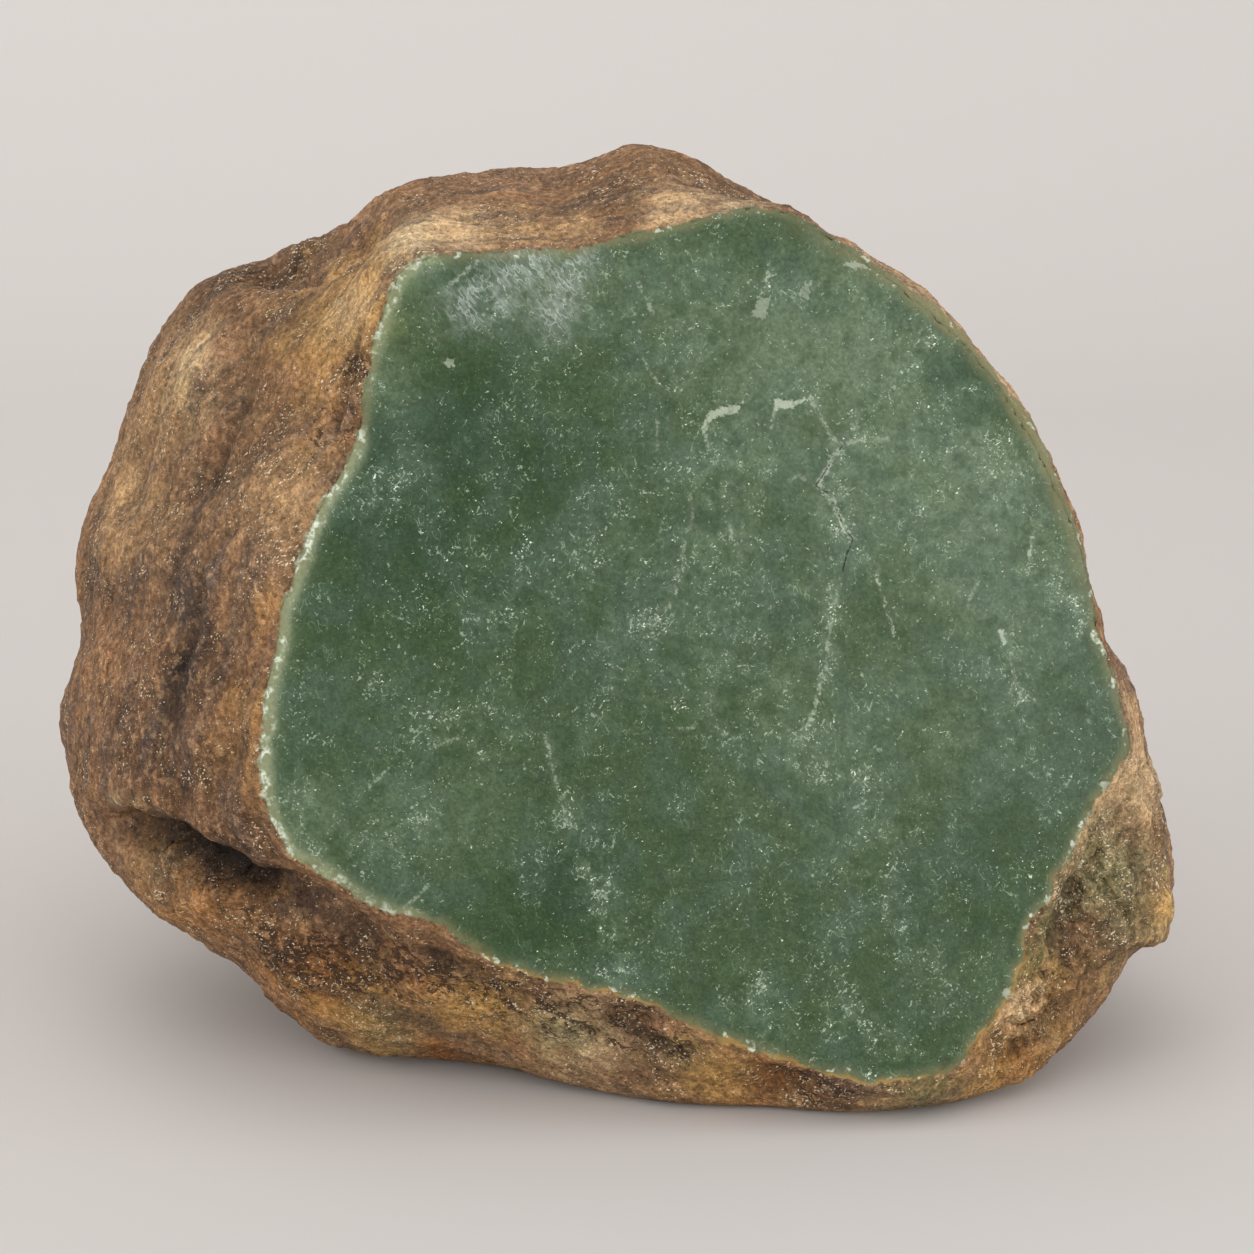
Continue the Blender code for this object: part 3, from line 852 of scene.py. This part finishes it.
mesh = stone.data
points = read(mesh, "co")
uneven = BROAD_SHARE * ragged(points, BROAD_WAVER)
uneven += FINE_SHARE * ragged(points + FINE_ASIDE, FINE_WAVER)
keep(mesh, "rind_tone", lay_patches(points, CLAY, STAINS, uneven, SPREAD))
iron = np.zeros(len(points))
for place, reach, strength in IRON_VEINS:
    iron = np.maximum(iron, patch((points - place) * SPREAD, reach, strength, uneven))
keep(mesh, "iron", iron)

# ---------------------------------------------------------------------------------------------
# Clouds and veils of the jade: it grew deeper or greyer in patches, with bands and clouds of white
# specks across it. A grey sheen at its upper left is painted: a painted reflection. The patches are
# given as the stains are, with places (across, up).
# ---------------------------------------------------------------------------------------------

MOSS = (59, 77, 49)
DEEP_GREEN = (34, 58, 31)
GREY_GREEN = (68, 86, 67)
SAGE = (94, 111, 87)
PALE_SAGE = (110, 125, 101)
YELLOW_GREEN = (98, 108, 58)

GREENS = [
    (DEEP_GREEN, (-56, 34), 22, 0.8),
    (MOSS, (-47, 76), 9, 0.6),
    (DEEP_GREEN, (-30, 46), 22, 1.0),
    (DEEP_GREEN, (-29, 42), 12, 0.5),
    (DEEP_GREEN, (-42, 10), 18, 0.6),
    (DEEP_GREEN, (-18, -62), 17, 0.9),
    (DEEP_GREEN, (-12, -2), 12, 0.3),
    (DEEP_GREEN, (-64, -30), 9, 0.4),
    (GREY_GREEN, (-62, -24), 16, 0.6),
    (SAGE, (-40, -45), 13, 0.5),
    (GREY_GREEN, (10, 8), 24, 0.8),
    (SAGE, (36, 64), 26, 0.8),
    (SAGE, (60, 34), 28, 0.8),
    (SAGE, (90, 6), 24, 0.8),
    (GREY_GREEN, (104, -24), 20, 0.7),
    (SAGE, (45, -30), 20, 0.3),
    (SAGE, (77, -28), 14, 0.4),
    (SAGE, (6, 78), 14, 0.5),
    (PALE_SAGE, (54, 66), 14, 0.5),
    (PALE_SAGE, (84, 32), 12, 0.6),
    (PALE_SAGE, (-20, 78), 12, 0.4),
    (DEEP_GREEN, (66, -100), 9, 0.4),
    (MOSS, (62, -76), 22, 0.7),
    (DEEP_GREEN, (84, -60), 14, 0.5),
    (YELLOW_GREEN, (-57, 69), 7, 0.7),
    (SAGE, (-55, 57), 8, 0.7),
    (SAGE, (-72, -42), 9, 0.7),
    (SAGE, (-48, 80), 7, 0.6),
]

# Bands: the places (across, up) along each, its half width and its strength.
VEIL_BANDS = [
    ([(-19, -25), (-16, -36), (-13, -46)], 1.5, 0.4),
    ([(-13, -46), (-7, -62), (-3, -72), (-3, -82)], 4.0, 0.9),
    ([(-74, -36), (-73, -46), (-68, -60)], 3.0, 0.8),
    ([(-58, -50), (-46, -46)], 5.0, 0.5),
    ([(73, 70), (67, 62), (60, 55), (53, 46)], 3.5, 0.7),
    ([(76, 72), (70, 66)], 6.0, 0.8),
    ([(80, 50), (90, 30), (97, 14)], 7.0, 0.45),
    ([(103, 10), (106, 2)], 3.0, 0.9),
    ([(88, 0), (91, -14), (94, -24)], 3.0, 0.6),
    ([(45, 48), (49, 40), (46, 32), (52, 20)], 3.0, 0.7),
    ([(49, 8), (46, -12), (42, -25), (36, -34)], 3.0, 0.8),
    ([(22, 46), (24, 22), (12, 8), (0, -12)], 6.0, 0.5),
    ([(30, -82), (34, -96)], 4.0, 0.8),
    ([(52, -90), (66, -100)], 4.0, 0.6),
    ([(60, -62), (75, -84)], 4.0, 0.5),
    ([(-60, 30), (-48, 36)], 5.0, 0.5),
    ([(-30, 0), (0, 20)], 9.0, 0.35),
    ([(-45, -22), (-30, -28)], 6.0, 0.4),
    ([(20, -8), (60, -50)], 12.0, 0.35),
    ([(10, 60), (20, 76)], 6.0, 0.35),
]

# The painted sheen, a painted reflection, the same way.
PAINTED_SHEEN_BANDS = [
    ([(-22, 86), (-28, 80), (-36, 75)], 6.0, 1.0),
    ([(-12, 86), (-14, 80), (-17, 72)], 4.5, 0.9),
]


def lay_bands(places, bands):
    """How strongly the nearest of these bands shows at each place."""
    total = np.zeros(len(places))
    for line, half_width, strength in bands:
        total = np.maximum(total, strength * np.exp(-(off_line(places, line) / half_width) ** 2))
    return total


BAND_WAVER = 0.02
keep(mesh, "jade_tone", lay_patches(points[:, [0, 2]], MOSS, GREENS, uneven))
places = points[:, [0, 2]] * (1.0 + BAND_WAVER * uneven[:, None])
keep(mesh, "veil", lay_bands(places, VEIL_BANDS))
keep(mesh, "painted_sheen", lay_bands(places, PAINTED_SHEEN_BANDS))

# ---------------------------------------------------------------------------------------------
# The finish of the jade and its rind, in one material. The jade is a felt of fine fibres, rubbed
# to a dull gloss: deep green, clouded, with small pale specks. The rind is dull and gritty.
# ---------------------------------------------------------------------------------------------

POOL = (40, 64, 34)
HAZE = (90, 110, 92)
COOL_GREEN = (70, 92, 78)
WARM_GREEN = (60, 84, 42)
PALE_JADE = (142, 162, 138)
SPECK = (150, 166, 142)
BRIGHT_SPECK = (214, 224, 204)
# a painted reflection: the grey sheen at the upper left
PAINTED_SHEEN = (172, 182, 174)
BEVEL_TONE = (146, 156, 122)
OLIVE_EDGE = (140, 132, 94)
ORANGE_EDGE = (176, 132, 64)
OPEN_CRACK = (34, 38, 28)
LIFTED = (172, 182, 162)
# painted glints on the rind's pale grains
RIND_PAINTED_GLINT = (234, 218, 188)
SLATE_STREAK = (86, 75, 69)
DUST = (180, 144, 106)
RUST_STREAK = (158, 108, 66)
VEIN = (54, 37, 25)
FOLD_SHADE = (26, 17, 11)

# How wide the grains of each kind are, in millimetres, from the finest up.
FLECK_SIZE = 0.55
SUGAR_SIZE = 0.8
THREAD_SIZE = 1.0
SHEEN_STREAK_SIZE = 1.1
RIND_GRIT_SIZE = 1.1
CRYSTAL_SIZE = 1.3
WRINKLE_SIZE = 2.2
FELT_SIZE = 2.3
FLAKING_SIZE = 3.6
LAYER_SIZE = 4.4
IRON_SEAM_SIZE = 4.5
STRAND_SIZE = 5.0
MOTTLE_SIZE = 5.5
SPECK_SEAM_SIZE = 11.0
# The angle that each of these lies at, in degrees, and how far it is drawn out that way.
IRON_SEAM_LIE = (15.0, 1.6)
FLECK_LIE = (-25.0, 1.5)
SHEEN_STREAK_LIE = (50.0, 3.0)
WRINKLE_LIE = (55.0, 2.2)
CRYSTAL_LIE = (62.0, 1.7)
STRAND_LIE = (70.0, 1.6)
# The two sets of fibres in the jade: the angle of each and how wide they are.
FIBRES = ((35.0, 0.55), (-50.0, 0.7))
FIBRE_STRETCH = 1.8
# How far the grains stand out, how dull the jade is, and how much duller its grains and the rind.
JADE_BUMP = 0.16
RIND_BUMP = 0.95
JADE_ROUGHNESS = 0.32
SUGAR_ROUGHNESS = 0.24
RIND_ROUGHER = 0.22
GLOSS = 0.2


class Paint(Web):
    """The finish under construction: tones laid one over another, by shares from 0 to 1."""

    def tone(self, colour):
        return tuple(linear(colour)) + (1.0,)

    def mark(self, name, output="Fac"):
        return self.node("ShaderNodeAttribute", attribute_name=name).outputs[output]

    def blend(self, share, under, over):
        return self.node("ShaderNodeMix", {0: share, 6: under, 7: over}, data_type="RGBA").outputs[2]

    def lay(self, under, share, colour):
        """The colour laid over what is under it, as strongly as its share."""
        return self.blend(share, under, self.tone(colour))

    def shade(self, colour, value):
        """The colour made lighter or darker by a factor."""
        node = self.node("ShaderNodeVectorMath", {0: colour, "Scale": value}, operation="SCALE")
        return node.outputs[0]

    def plus(self, value, more, share):
        """The value and, on top of it, this share of another."""
        return self.math("MULTIPLY_ADD", more, share, value)

    def rough(self, value, grain, swing):
        """The value pushed up and down by a grain, through about this much."""
        return self.plus(value, self.math("SUBTRACT", grain, 0.5), swing)

    def shifted(self, where, distance):
        """Room for a grain that doesn't coincide with the others."""
        return self.vector("ADD", where, (distance, distance, distance))

    def combed(self, where, angle, stretch):
        """Room for a grain whose patches are drawn out at this angle, seen from the front."""
        turned = {"Vector": where, "Rotation": (0.0, math.radians(angle), 0.0),
                  "Scale": (stretch, 1.0, 1.0)}
        return self.node("ShaderNodeMapping", turned, vector_type="TEXTURE").outputs[0]


paint = Paint(material.node_tree)
coordinates = paint.node("ShaderNodeTexCoord").outputs["Object"]
place = paint.node("ShaderNodeMapping", {"Vector": coordinates, "Location": WINDOW_MIDDLE,
                                         "Rotation": (-WINDOW_LEAN, 0.0, 0.0),
                                         "Scale": (MM, MM, MM)}, vector_type="TEXTURE").outputs[0]
edge = paint.mark("edge_distance")
left = paint.mark("bevel")
upper_right = paint.mark("upper_right")
clumps = paint.mark("clumps")
broken = paint.mark("rubble")
sugar = paint.grain(place, SUGAR_SIZE, 1.0, 0.6)
felt = paint.grain(place, FELT_SIZE, 2.0, 0.65)
mottle = paint.grain(place, MOTTLE_SIZE, 2.0, 0.6)
grit = paint.grain(place, RIND_GRIT_SIZE, 2.0, 0.75)
flecks = paint.grain(paint.combed(paint.shifted(place, 23.0), *FLECK_LIE), FLECK_SIZE, 1.0, 0.6)
flaking = paint.grain(paint.shifted(place, 12.0), FLAKING_SIZE, 2.0, 0.6)
veil = paint.both(paint.mark("veil"), paint.steps(mottle, 0.3, 0.6))
# the distance from the window's edge, as if that were torn, and further out at the upper right
torn = paint.rough(paint.rough(edge, mottle, 4.5), felt, 1.6)
torn = paint.plus(torn, upper_right, 4.0)


def clouded_jade():
    """The jade as it grew: clouded, and felted with fine grain."""
    cool = paint.mark("cool")
    jade = paint.mark("jade_tone", "Color")
    jade = paint.lay(jade, paint.steps(mottle, 0.5, 0.36, 0.0, 0.35), POOL)
    jade = paint.lay(jade, paint.steps(clumps, 0.48, 0.64, 0.0, 0.22), HAZE)
    jade = paint.lay(jade, paint.steps(cool, 0.42, 0.66, 0.0, 0.3), COOL_GREEN)
    jade = paint.lay(jade, paint.steps(cool, 0.54, 0.34, 0.0, 0.2), WARM_GREEN)
    jade = paint.shade(jade, paint.steps(felt, 0.3, 0.7, 0.87, 1.13))
    jade = paint.shade(jade, paint.steps(sugar, 0.3, 0.7, 0.83, 1.17))
    return paint.lay(jade, paint.both(veil, paint.steps(felt, 0.3, 0.6, 0.05, 0.22)), PALE_JADE)


def specked(jade):
    """Pale fibres and bright specks, crowded in the clouds and strung out along old seams."""
    seams = paint.off_level(paint.grain(paint.shifted(place, 77.0), SPECK_SEAM_SIZE, 3.0, 0.6))
    crowding = paint.plus(paint.steps(clumps, 0.4, 0.65, 0.0, 0.03), veil, 0.11)
    crowding = paint.plus(crowding, paint.steps(mottle, 0.46, 0.66), 0.07)
    crowding = paint.plus(crowding, paint.steps(seams, 0.012, 0.0), 0.1)
    for angle, size in FIBRES:
        room = paint.combed(paint.shifted(place, angle), angle, FIBRE_STRETCH)
        fibres = paint.math("ADD", paint.grain(room, size, 1.0, 0.6), crowding)
        jade = paint.lay(jade, paint.steps(fibres, 0.72, 0.84, 0.0, 0.7), SPECK)
    specks = paint.math("ADD", flecks, crowding)
    return paint.lay(jade, paint.steps(specks, 0.8, 0.87, 0.0, 0.95), BRIGHT_SPECK)


def threaded(jade):
    """Broken threads of pale fibre."""
    room = paint.combed(paint.shifted(place, 19.0), *STRAND_LIE)
    strands = paint.steps(paint.off_level(paint.grain(room, STRAND_SIZE, 2.0, 0.68)), 0.008, 0.001)
    strands = paint.both(strands, paint.steps(felt, 0.47, 0.6),
                         paint.steps(clumps, 0.42, 0.6, 0.15, 0.7))
    return paint.lay(jade, strands, SPECK)


def with_painted_sheen(jade):
    """Grey sheen at the upper left, a painted reflection in slanting streaks."""
    sheen_streaks = paint.grain(paint.combed(place, *SHEEN_STREAK_LIE), SHEEN_STREAK_SIZE, 1.0, 0.7)
    wrinkles = paint.grain(paint.combed(place, *WRINKLE_LIE), WRINKLE_SIZE, 2.0, 0.7)
    wrinkles = paint.steps(paint.off_level(wrinkles), 0.055, 0.0, 0.0, 0.85)
    sheen_streaks = paint.math("MAXIMUM", wrinkles, paint.steps(sheen_streaks, 0.42, 0.7, 0.14, 0.5))
    # the painted sheen: a painted reflection, only in its bands
    painted_sheen = paint.both(paint.mark("painted_sheen"), paint.steps(mottle, 0.34, 0.52, 0.2, 1.0), sheen_streaks)
    return paint.lay(jade, painted_sheen, PAINTED_SHEEN)


def edged(jade):
    """Edge of the window: bruised pale and painted highlight on the left, olive upper right, orange
    below.
    """
    # the pale left bevel: partly its own bruised colour, partly a painted highlight where it faces
    # the light
    bruised_and_lit = paint.both(left, paint.steps(torn, 4.6, 1.4), paint.steps(mottle, 0.36, 0.6, 0.5, 0.85),
                         paint.steps(sugar, 0.3, 0.6, 0.7, 1.0))
    jade = paint.lay(jade, bruised_and_lit, BEVEL_TONE)
    jade = paint.lay(jade, paint.both(left, paint.steps(torn, 7.0, 2.0, 0.0, 0.13)), BEVEL_TONE)
    olive = paint.both(upper_right, paint.steps(torn, 7.0, 1.5, 0.0, 0.8))
    olive = paint.math("MAXIMUM", olive, paint.steps(torn, 3.5, 0.2, 0.0, 0.4))
    jade = paint.lay(jade, olive, OLIVE_EDGE)
    up = paint.node("ShaderNodeSeparateXYZ", {0: place}).outputs[2]
    orange = paint.both(paint.steps(up, -66.0, -80.0), paint.steps(torn, 1.3, 0.3, 0.0, 0.6),
                        paint.steps(clumps, 0.44, 0.54, 0.15, 1.0))
    jade = paint.lay(jade, orange, ORANGE_EDGE)
    off_rim = paint.off_level(torn, 0.8)
    flaked = paint.both(left, paint.steps(off_rim, 2.0, 0.3), paint.steps(flaking, 0.47, 0.58),
                        paint.steps(sugar, 0.38, 0.6, 0.25, 0.95))
    chips = paint.both(paint.steps(off_rim, 1.3, 0.4), paint.steps(flaking, 0.60, 0.65, 0.0, 0.7),
                       paint.steps(sugar, 0.34, 0.55, 0.4, 1.0))
    return paint.lay(jade, paint.math("MAXIMUM", flaked, chips), BRIGHT_SPECK)


def damaged(jade):
    """The sugary bruise beside each crack, the pale dish of each flake and the open cracks."""
    off_crack = paint.mark("off_crack")
    off_bruise = paint.math("SUBTRACT", paint.rough(off_crack, sugar, 2.4), paint.mark("bruise"))
    bruise = paint.both(paint.steps(off_bruise, 0.4, -0.2), paint.mark("crack_paleness"),
                        paint.steps(felt, 0.4, 0.56, 0.2, 1.0))
    jade = paint.lay(jade, bruise, LIFTED)
    in_flake = paint.rough(paint.mark("in_flake"), sugar, 2.0)
    dish = paint.both(paint.steps(in_flake, -0.15, 0.2), paint.mark("flake_paleness"),
                      paint.steps(felt, 0.3, 0.5, 0.5, 0.9))
    jade = paint.lay(jade, dish, LIFTED)
    hair = paint.both(paint.steps(paint.rough(off_crack, sugar, 0.7), 0.3, 0.12),
                      paint.mark("opening"), paint.steps(flaking, 0.36, 0.44, 0.1, 0.95))
    return paint.lay(jade, hair, OPEN_CRACK)


def stained_rind():
    """The rind with its stains, streaked along the stone's layers, and its grit; its relief painted
    as shade and light.
    """
    layered = paint.along_layers(place)
    layers = paint.grain(layered, LAYER_SIZE, 2.0, 0.6)
    threads = paint.grain(layered, THREAD_SIZE, 1.0, 0.6)
    whole = paint.math("MULTIPLY_ADD", broken, -0.8, 1.0)
    slate = paint.both(whole, paint.steps(layers, 0.48, 0.66, 0.0, 0.5))
    rust = paint.both(paint.steps(layers, 0.5, 0.36, 0.0, 0.2), paint.steps(felt, 0.4, 0.6, 0.3, 1.0))
    rind = paint.lay(paint.mark("rind_tone", "Color"), slate, SLATE_STREAK)
    rind = paint.lay(rind, rust, RUST_STREAK)
    rind = paint.shade(rind, paint.steps(clumps, 0.33, 0.67, 1.2, 0.82))
    rind = paint.shade(rind, paint.steps(felt, 0.3, 0.6, 0.78, 1.04))
    rind = paint.lay(rind, paint.steps(felt, 0.5, 0.68, 0.0, 0.4), DUST)
    rind = paint.shade(rind, paint.steps(threads, 0.3, 0.7, 0.84, 1.14))
    rind = paint.shade(rind, paint.steps(grit, 0.3, 0.7, 0.66, 1.34))
    # painted shade in the hollows and painted light on the lumps, from the relief's height
    return paint.shade(rind, paint.steps(paint.mark("relief"), -2.0, 2.0, 0.72, 1.22))


def crystalled(rind):
    """The small crystals of the broken places, each its own shade."""
    crystals = paint.node("ShaderNodeTexVoronoi", {"Vector": paint.combed(place, *CRYSTAL_LIE),
                                                   "Scale": 1.0 / CRYSTAL_SIZE})
    shade = paint.node("ShaderNodeSeparateXYZ", {0: crystals.outputs["Color"]}).outputs[0]
    shade = paint.both(paint.math("SUBTRACT", shade, 0.45), paint.math("MAXIMUM", broken, 0.4))
    return paint.shade(rind, paint.math("MULTIPLY_ADD", shade, 0.95, 1.0))


def seamed(rind):
    """The hair cracks that iron has crept along."""
    iron = paint.mark("iron")
    seams = paint.grain(paint.combed(place, *IRON_SEAM_LIE), IRON_SEAM_SIZE, 3.0, 0.68)
    width = paint.both(iron, paint.steps(mottle, 0.36, 0.62, 0.018, 0.1))
    seams = paint.steps(paint.math("SUBTRACT", paint.off_level(seams), width), 0.008, -0.012)
    return paint.lay(rind, paint.both(seams, paint.steps(iron, 0.08, 0.4, 0.0, 0.82)), VEIN)


def painted_glints_pits_and_shade(rind):
    """Pale grains with painted glints, dark pits and the painted shade in the folds."""
    crowding = paint.plus(paint.steps(clumps, 0.46, 0.6, -0.02, 0.05),
                          paint.steps(mottle, 0.42, 0.62), 0.06)
    painted_glints = paint.math("ADD", paint.plus(crowding, broken, 0.06), flecks)
    # the glints are painted: pale grains lit up as painted sparkle
    rind = paint.lay(rind, paint.steps(painted_glints, 0.7, 0.79, 0.0, 0.8), RIND_PAINTED_GLINT)
    rind = paint.lay(rind, paint.steps(sugar, 0.34, 0.26, 0.0, 0.6), VEIN)
    # painted shade inside the folds
    return paint.lay(rind, paint.mark("painted_fold_shade"), FOLD_SHADE)


jade = damaged(edged(with_painted_sheen(threaded(specked(clouded_jade())))))
rind = painted_glints_pits_and_shade(seamed(crystalled(stained_rind())))

# where one gives way to the other: raggedly, and more softly along the bevel
rim = paint.math("DIVIDE", paint.rough(torn, grit, 1.4), paint.math("MULTIPLY_ADD", left, 2.0, 1.6))
bare = paint.steps(rim, -0.25, 0.15)
shader = paint.tree.nodes["Principled BSDF"]
paint.feed(shader.inputs["Base Color"], paint.blend(bare, rind, jade))
dull = paint.math("MULTIPLY_ADD", sugar, SUGAR_ROUGHNESS, JADE_ROUGHNESS)
dull = paint.plus(dull, paint.math("SUBTRACT", 1.0, bare), RIND_ROUGHER)
paint.feed(shader.inputs["Roughness"], dull)
shader.inputs["Specular IOR Level"].default_value = GLOSS
height = paint.both(grit, paint.steps(edge, 0.6, -0.6, 0.0, RIND_BUMP))
height = paint.plus(height, sugar, JADE_BUMP)
bump = paint.node("ShaderNodeBump", {"Strength": 1.0, "Distance": MM, "Height": height})
paint.feed(shader.inputs["Normal"], bump.outputs[0])

stone.data.transform(AS_IT_LIES)
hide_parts("jade_boulder")
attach(stone, "root")

# ---------------------------------------------------------------------------------------------
# The studio: a pale seamless sheet of paper that runs on under the stone and bends up behind it,
# and even, soft light from all round, with a little more of it from the left and the right.
# ---------------------------------------------------------------------------------------------

PAPER = (0.558, 0.532, 0.514, 1.0)
PAPER_ROUGHNESS = 0.9
PAPER_FRONT = -3.0
PAPER_BACK = 0.7
PAPER_HALF_WIDTH = 4.0
PAPER_HEIGHT = 3.0
BEND = 0.6
BEND_STEPS = 12
# Softboxes: where each hangs, what it points at, its width and its power.
SOFTBOXES = {
    "top_softbox": ((-0.15, -0.6, 1.6), (0.0, 0.0, 0.1), 1.2, 4.0),
    "front_softbox": ((0.8, -1.2, 0.15), (0.05, 0.0, 0.06), 0.8, 5.5),
    "right_softbox": ((1.5, -0.5, 0.35), (0.0, 0.0, 0.1), 1.2, 7.0),
    "left_softbox": ((-1.5, -0.9, 0.8), (-0.1, 0.0, 0.0), 1.2, 8.0),
    "backdrop_light": ((-0.6, 0.6, 1.6), (-0.4, 1.5, 0.7), 1.0, 5.0),
}
ROOM_LIGHT = (1.0, 0.98, 0.97, 1.0)
ROOM_BRIGHTNESS = 0.95
LENS = 100.0
SENSOR = 36.0
VIEWING_DISTANCE = 812.0


def paper_sheet():
    """The sheet, with its bend as part of a circle."""
    profile = [(PAPER_FRONT, 0.0), (PAPER_BACK, 0.0)]
    for step in range(1, BEND_STEPS + 1):
        turn = math.radians(90.0 * step / BEND_STEPS)
        profile.append((PAPER_BACK + BEND * math.sin(turn), BEND * (1.0 - math.cos(turn))))
    profile.append((PAPER_BACK + BEND, PAPER_HEIGHT))
    verts = [(x, y, z) for x in (-PAPER_HALF_WIDTH, PAPER_HALF_WIDTH) for y, z in profile]
    count = len(profile)
    faces = [(i, i + count, i + count + 1, i + 1) for i in range(count - 1)]
    mesh = bpy.data.meshes.new("paper")
    mesh.from_pydata(verts, [], faces)
    mesh.shade_smooth()
    material = bpy.data.materials.new("paper")
    material.use_nodes = True
    shader = material.node_tree.nodes["Principled BSDF"]
    shader.inputs["Base Color"].default_value = PAPER
    shader.inputs["Roughness"].default_value = PAPER_ROUGHNESS
    mesh.materials.append(material)
    paper = bpy.data.objects.new("paper", mesh)
    bpy.context.scene.collection.objects.link(paper)


def softbox(name, where, aim, width, power):
    """A square area light, pointed at its aim."""
    lamp = bpy.data.lights.new(name, "AREA")
    lamp.shape = "SQUARE"
    lamp.size = width
    lamp.energy = power
    holder = bpy.data.objects.new(name, lamp)
    holder.location = where
    holder.rotation_euler = (Vector(aim) - Vector(where)).to_track_quat("-Z", "Y").to_euler()
    bpy.context.scene.collection.objects.link(holder)


paper_sheet()
for name, (where, aim, width, power) in SOFTBOXES.items():
    softbox(name, where, aim, width, power)

world = bpy.data.worlds.new("studio")
world.use_nodes = True
world.node_tree.nodes["Background"].inputs["Color"].default_value = ROOM_LIGHT
world.node_tree.nodes["Background"].inputs["Strength"].default_value = ROOM_BRIGHTNESS
bpy.context.scene.world = world
bpy.context.scene.view_settings.view_transform = "Standard"

lens = bpy.data.cameras.new("camera")
lens.lens = LENS
lens.sensor_width = SENSOR
lens.sensor_fit = "HORIZONTAL"
camera = bpy.data.objects.new("camera", lens)
camera.location = AS_IT_LIES @ Vector((0.0, -VIEWING_DISTANCE, 0.0))
camera.rotation_euler = (math.radians(90.0) - WINDOW_LEAN, 0.0, 0.0)
bpy.context.scene.collection.objects.link(camera)
bpy.context.scene.camera = camera
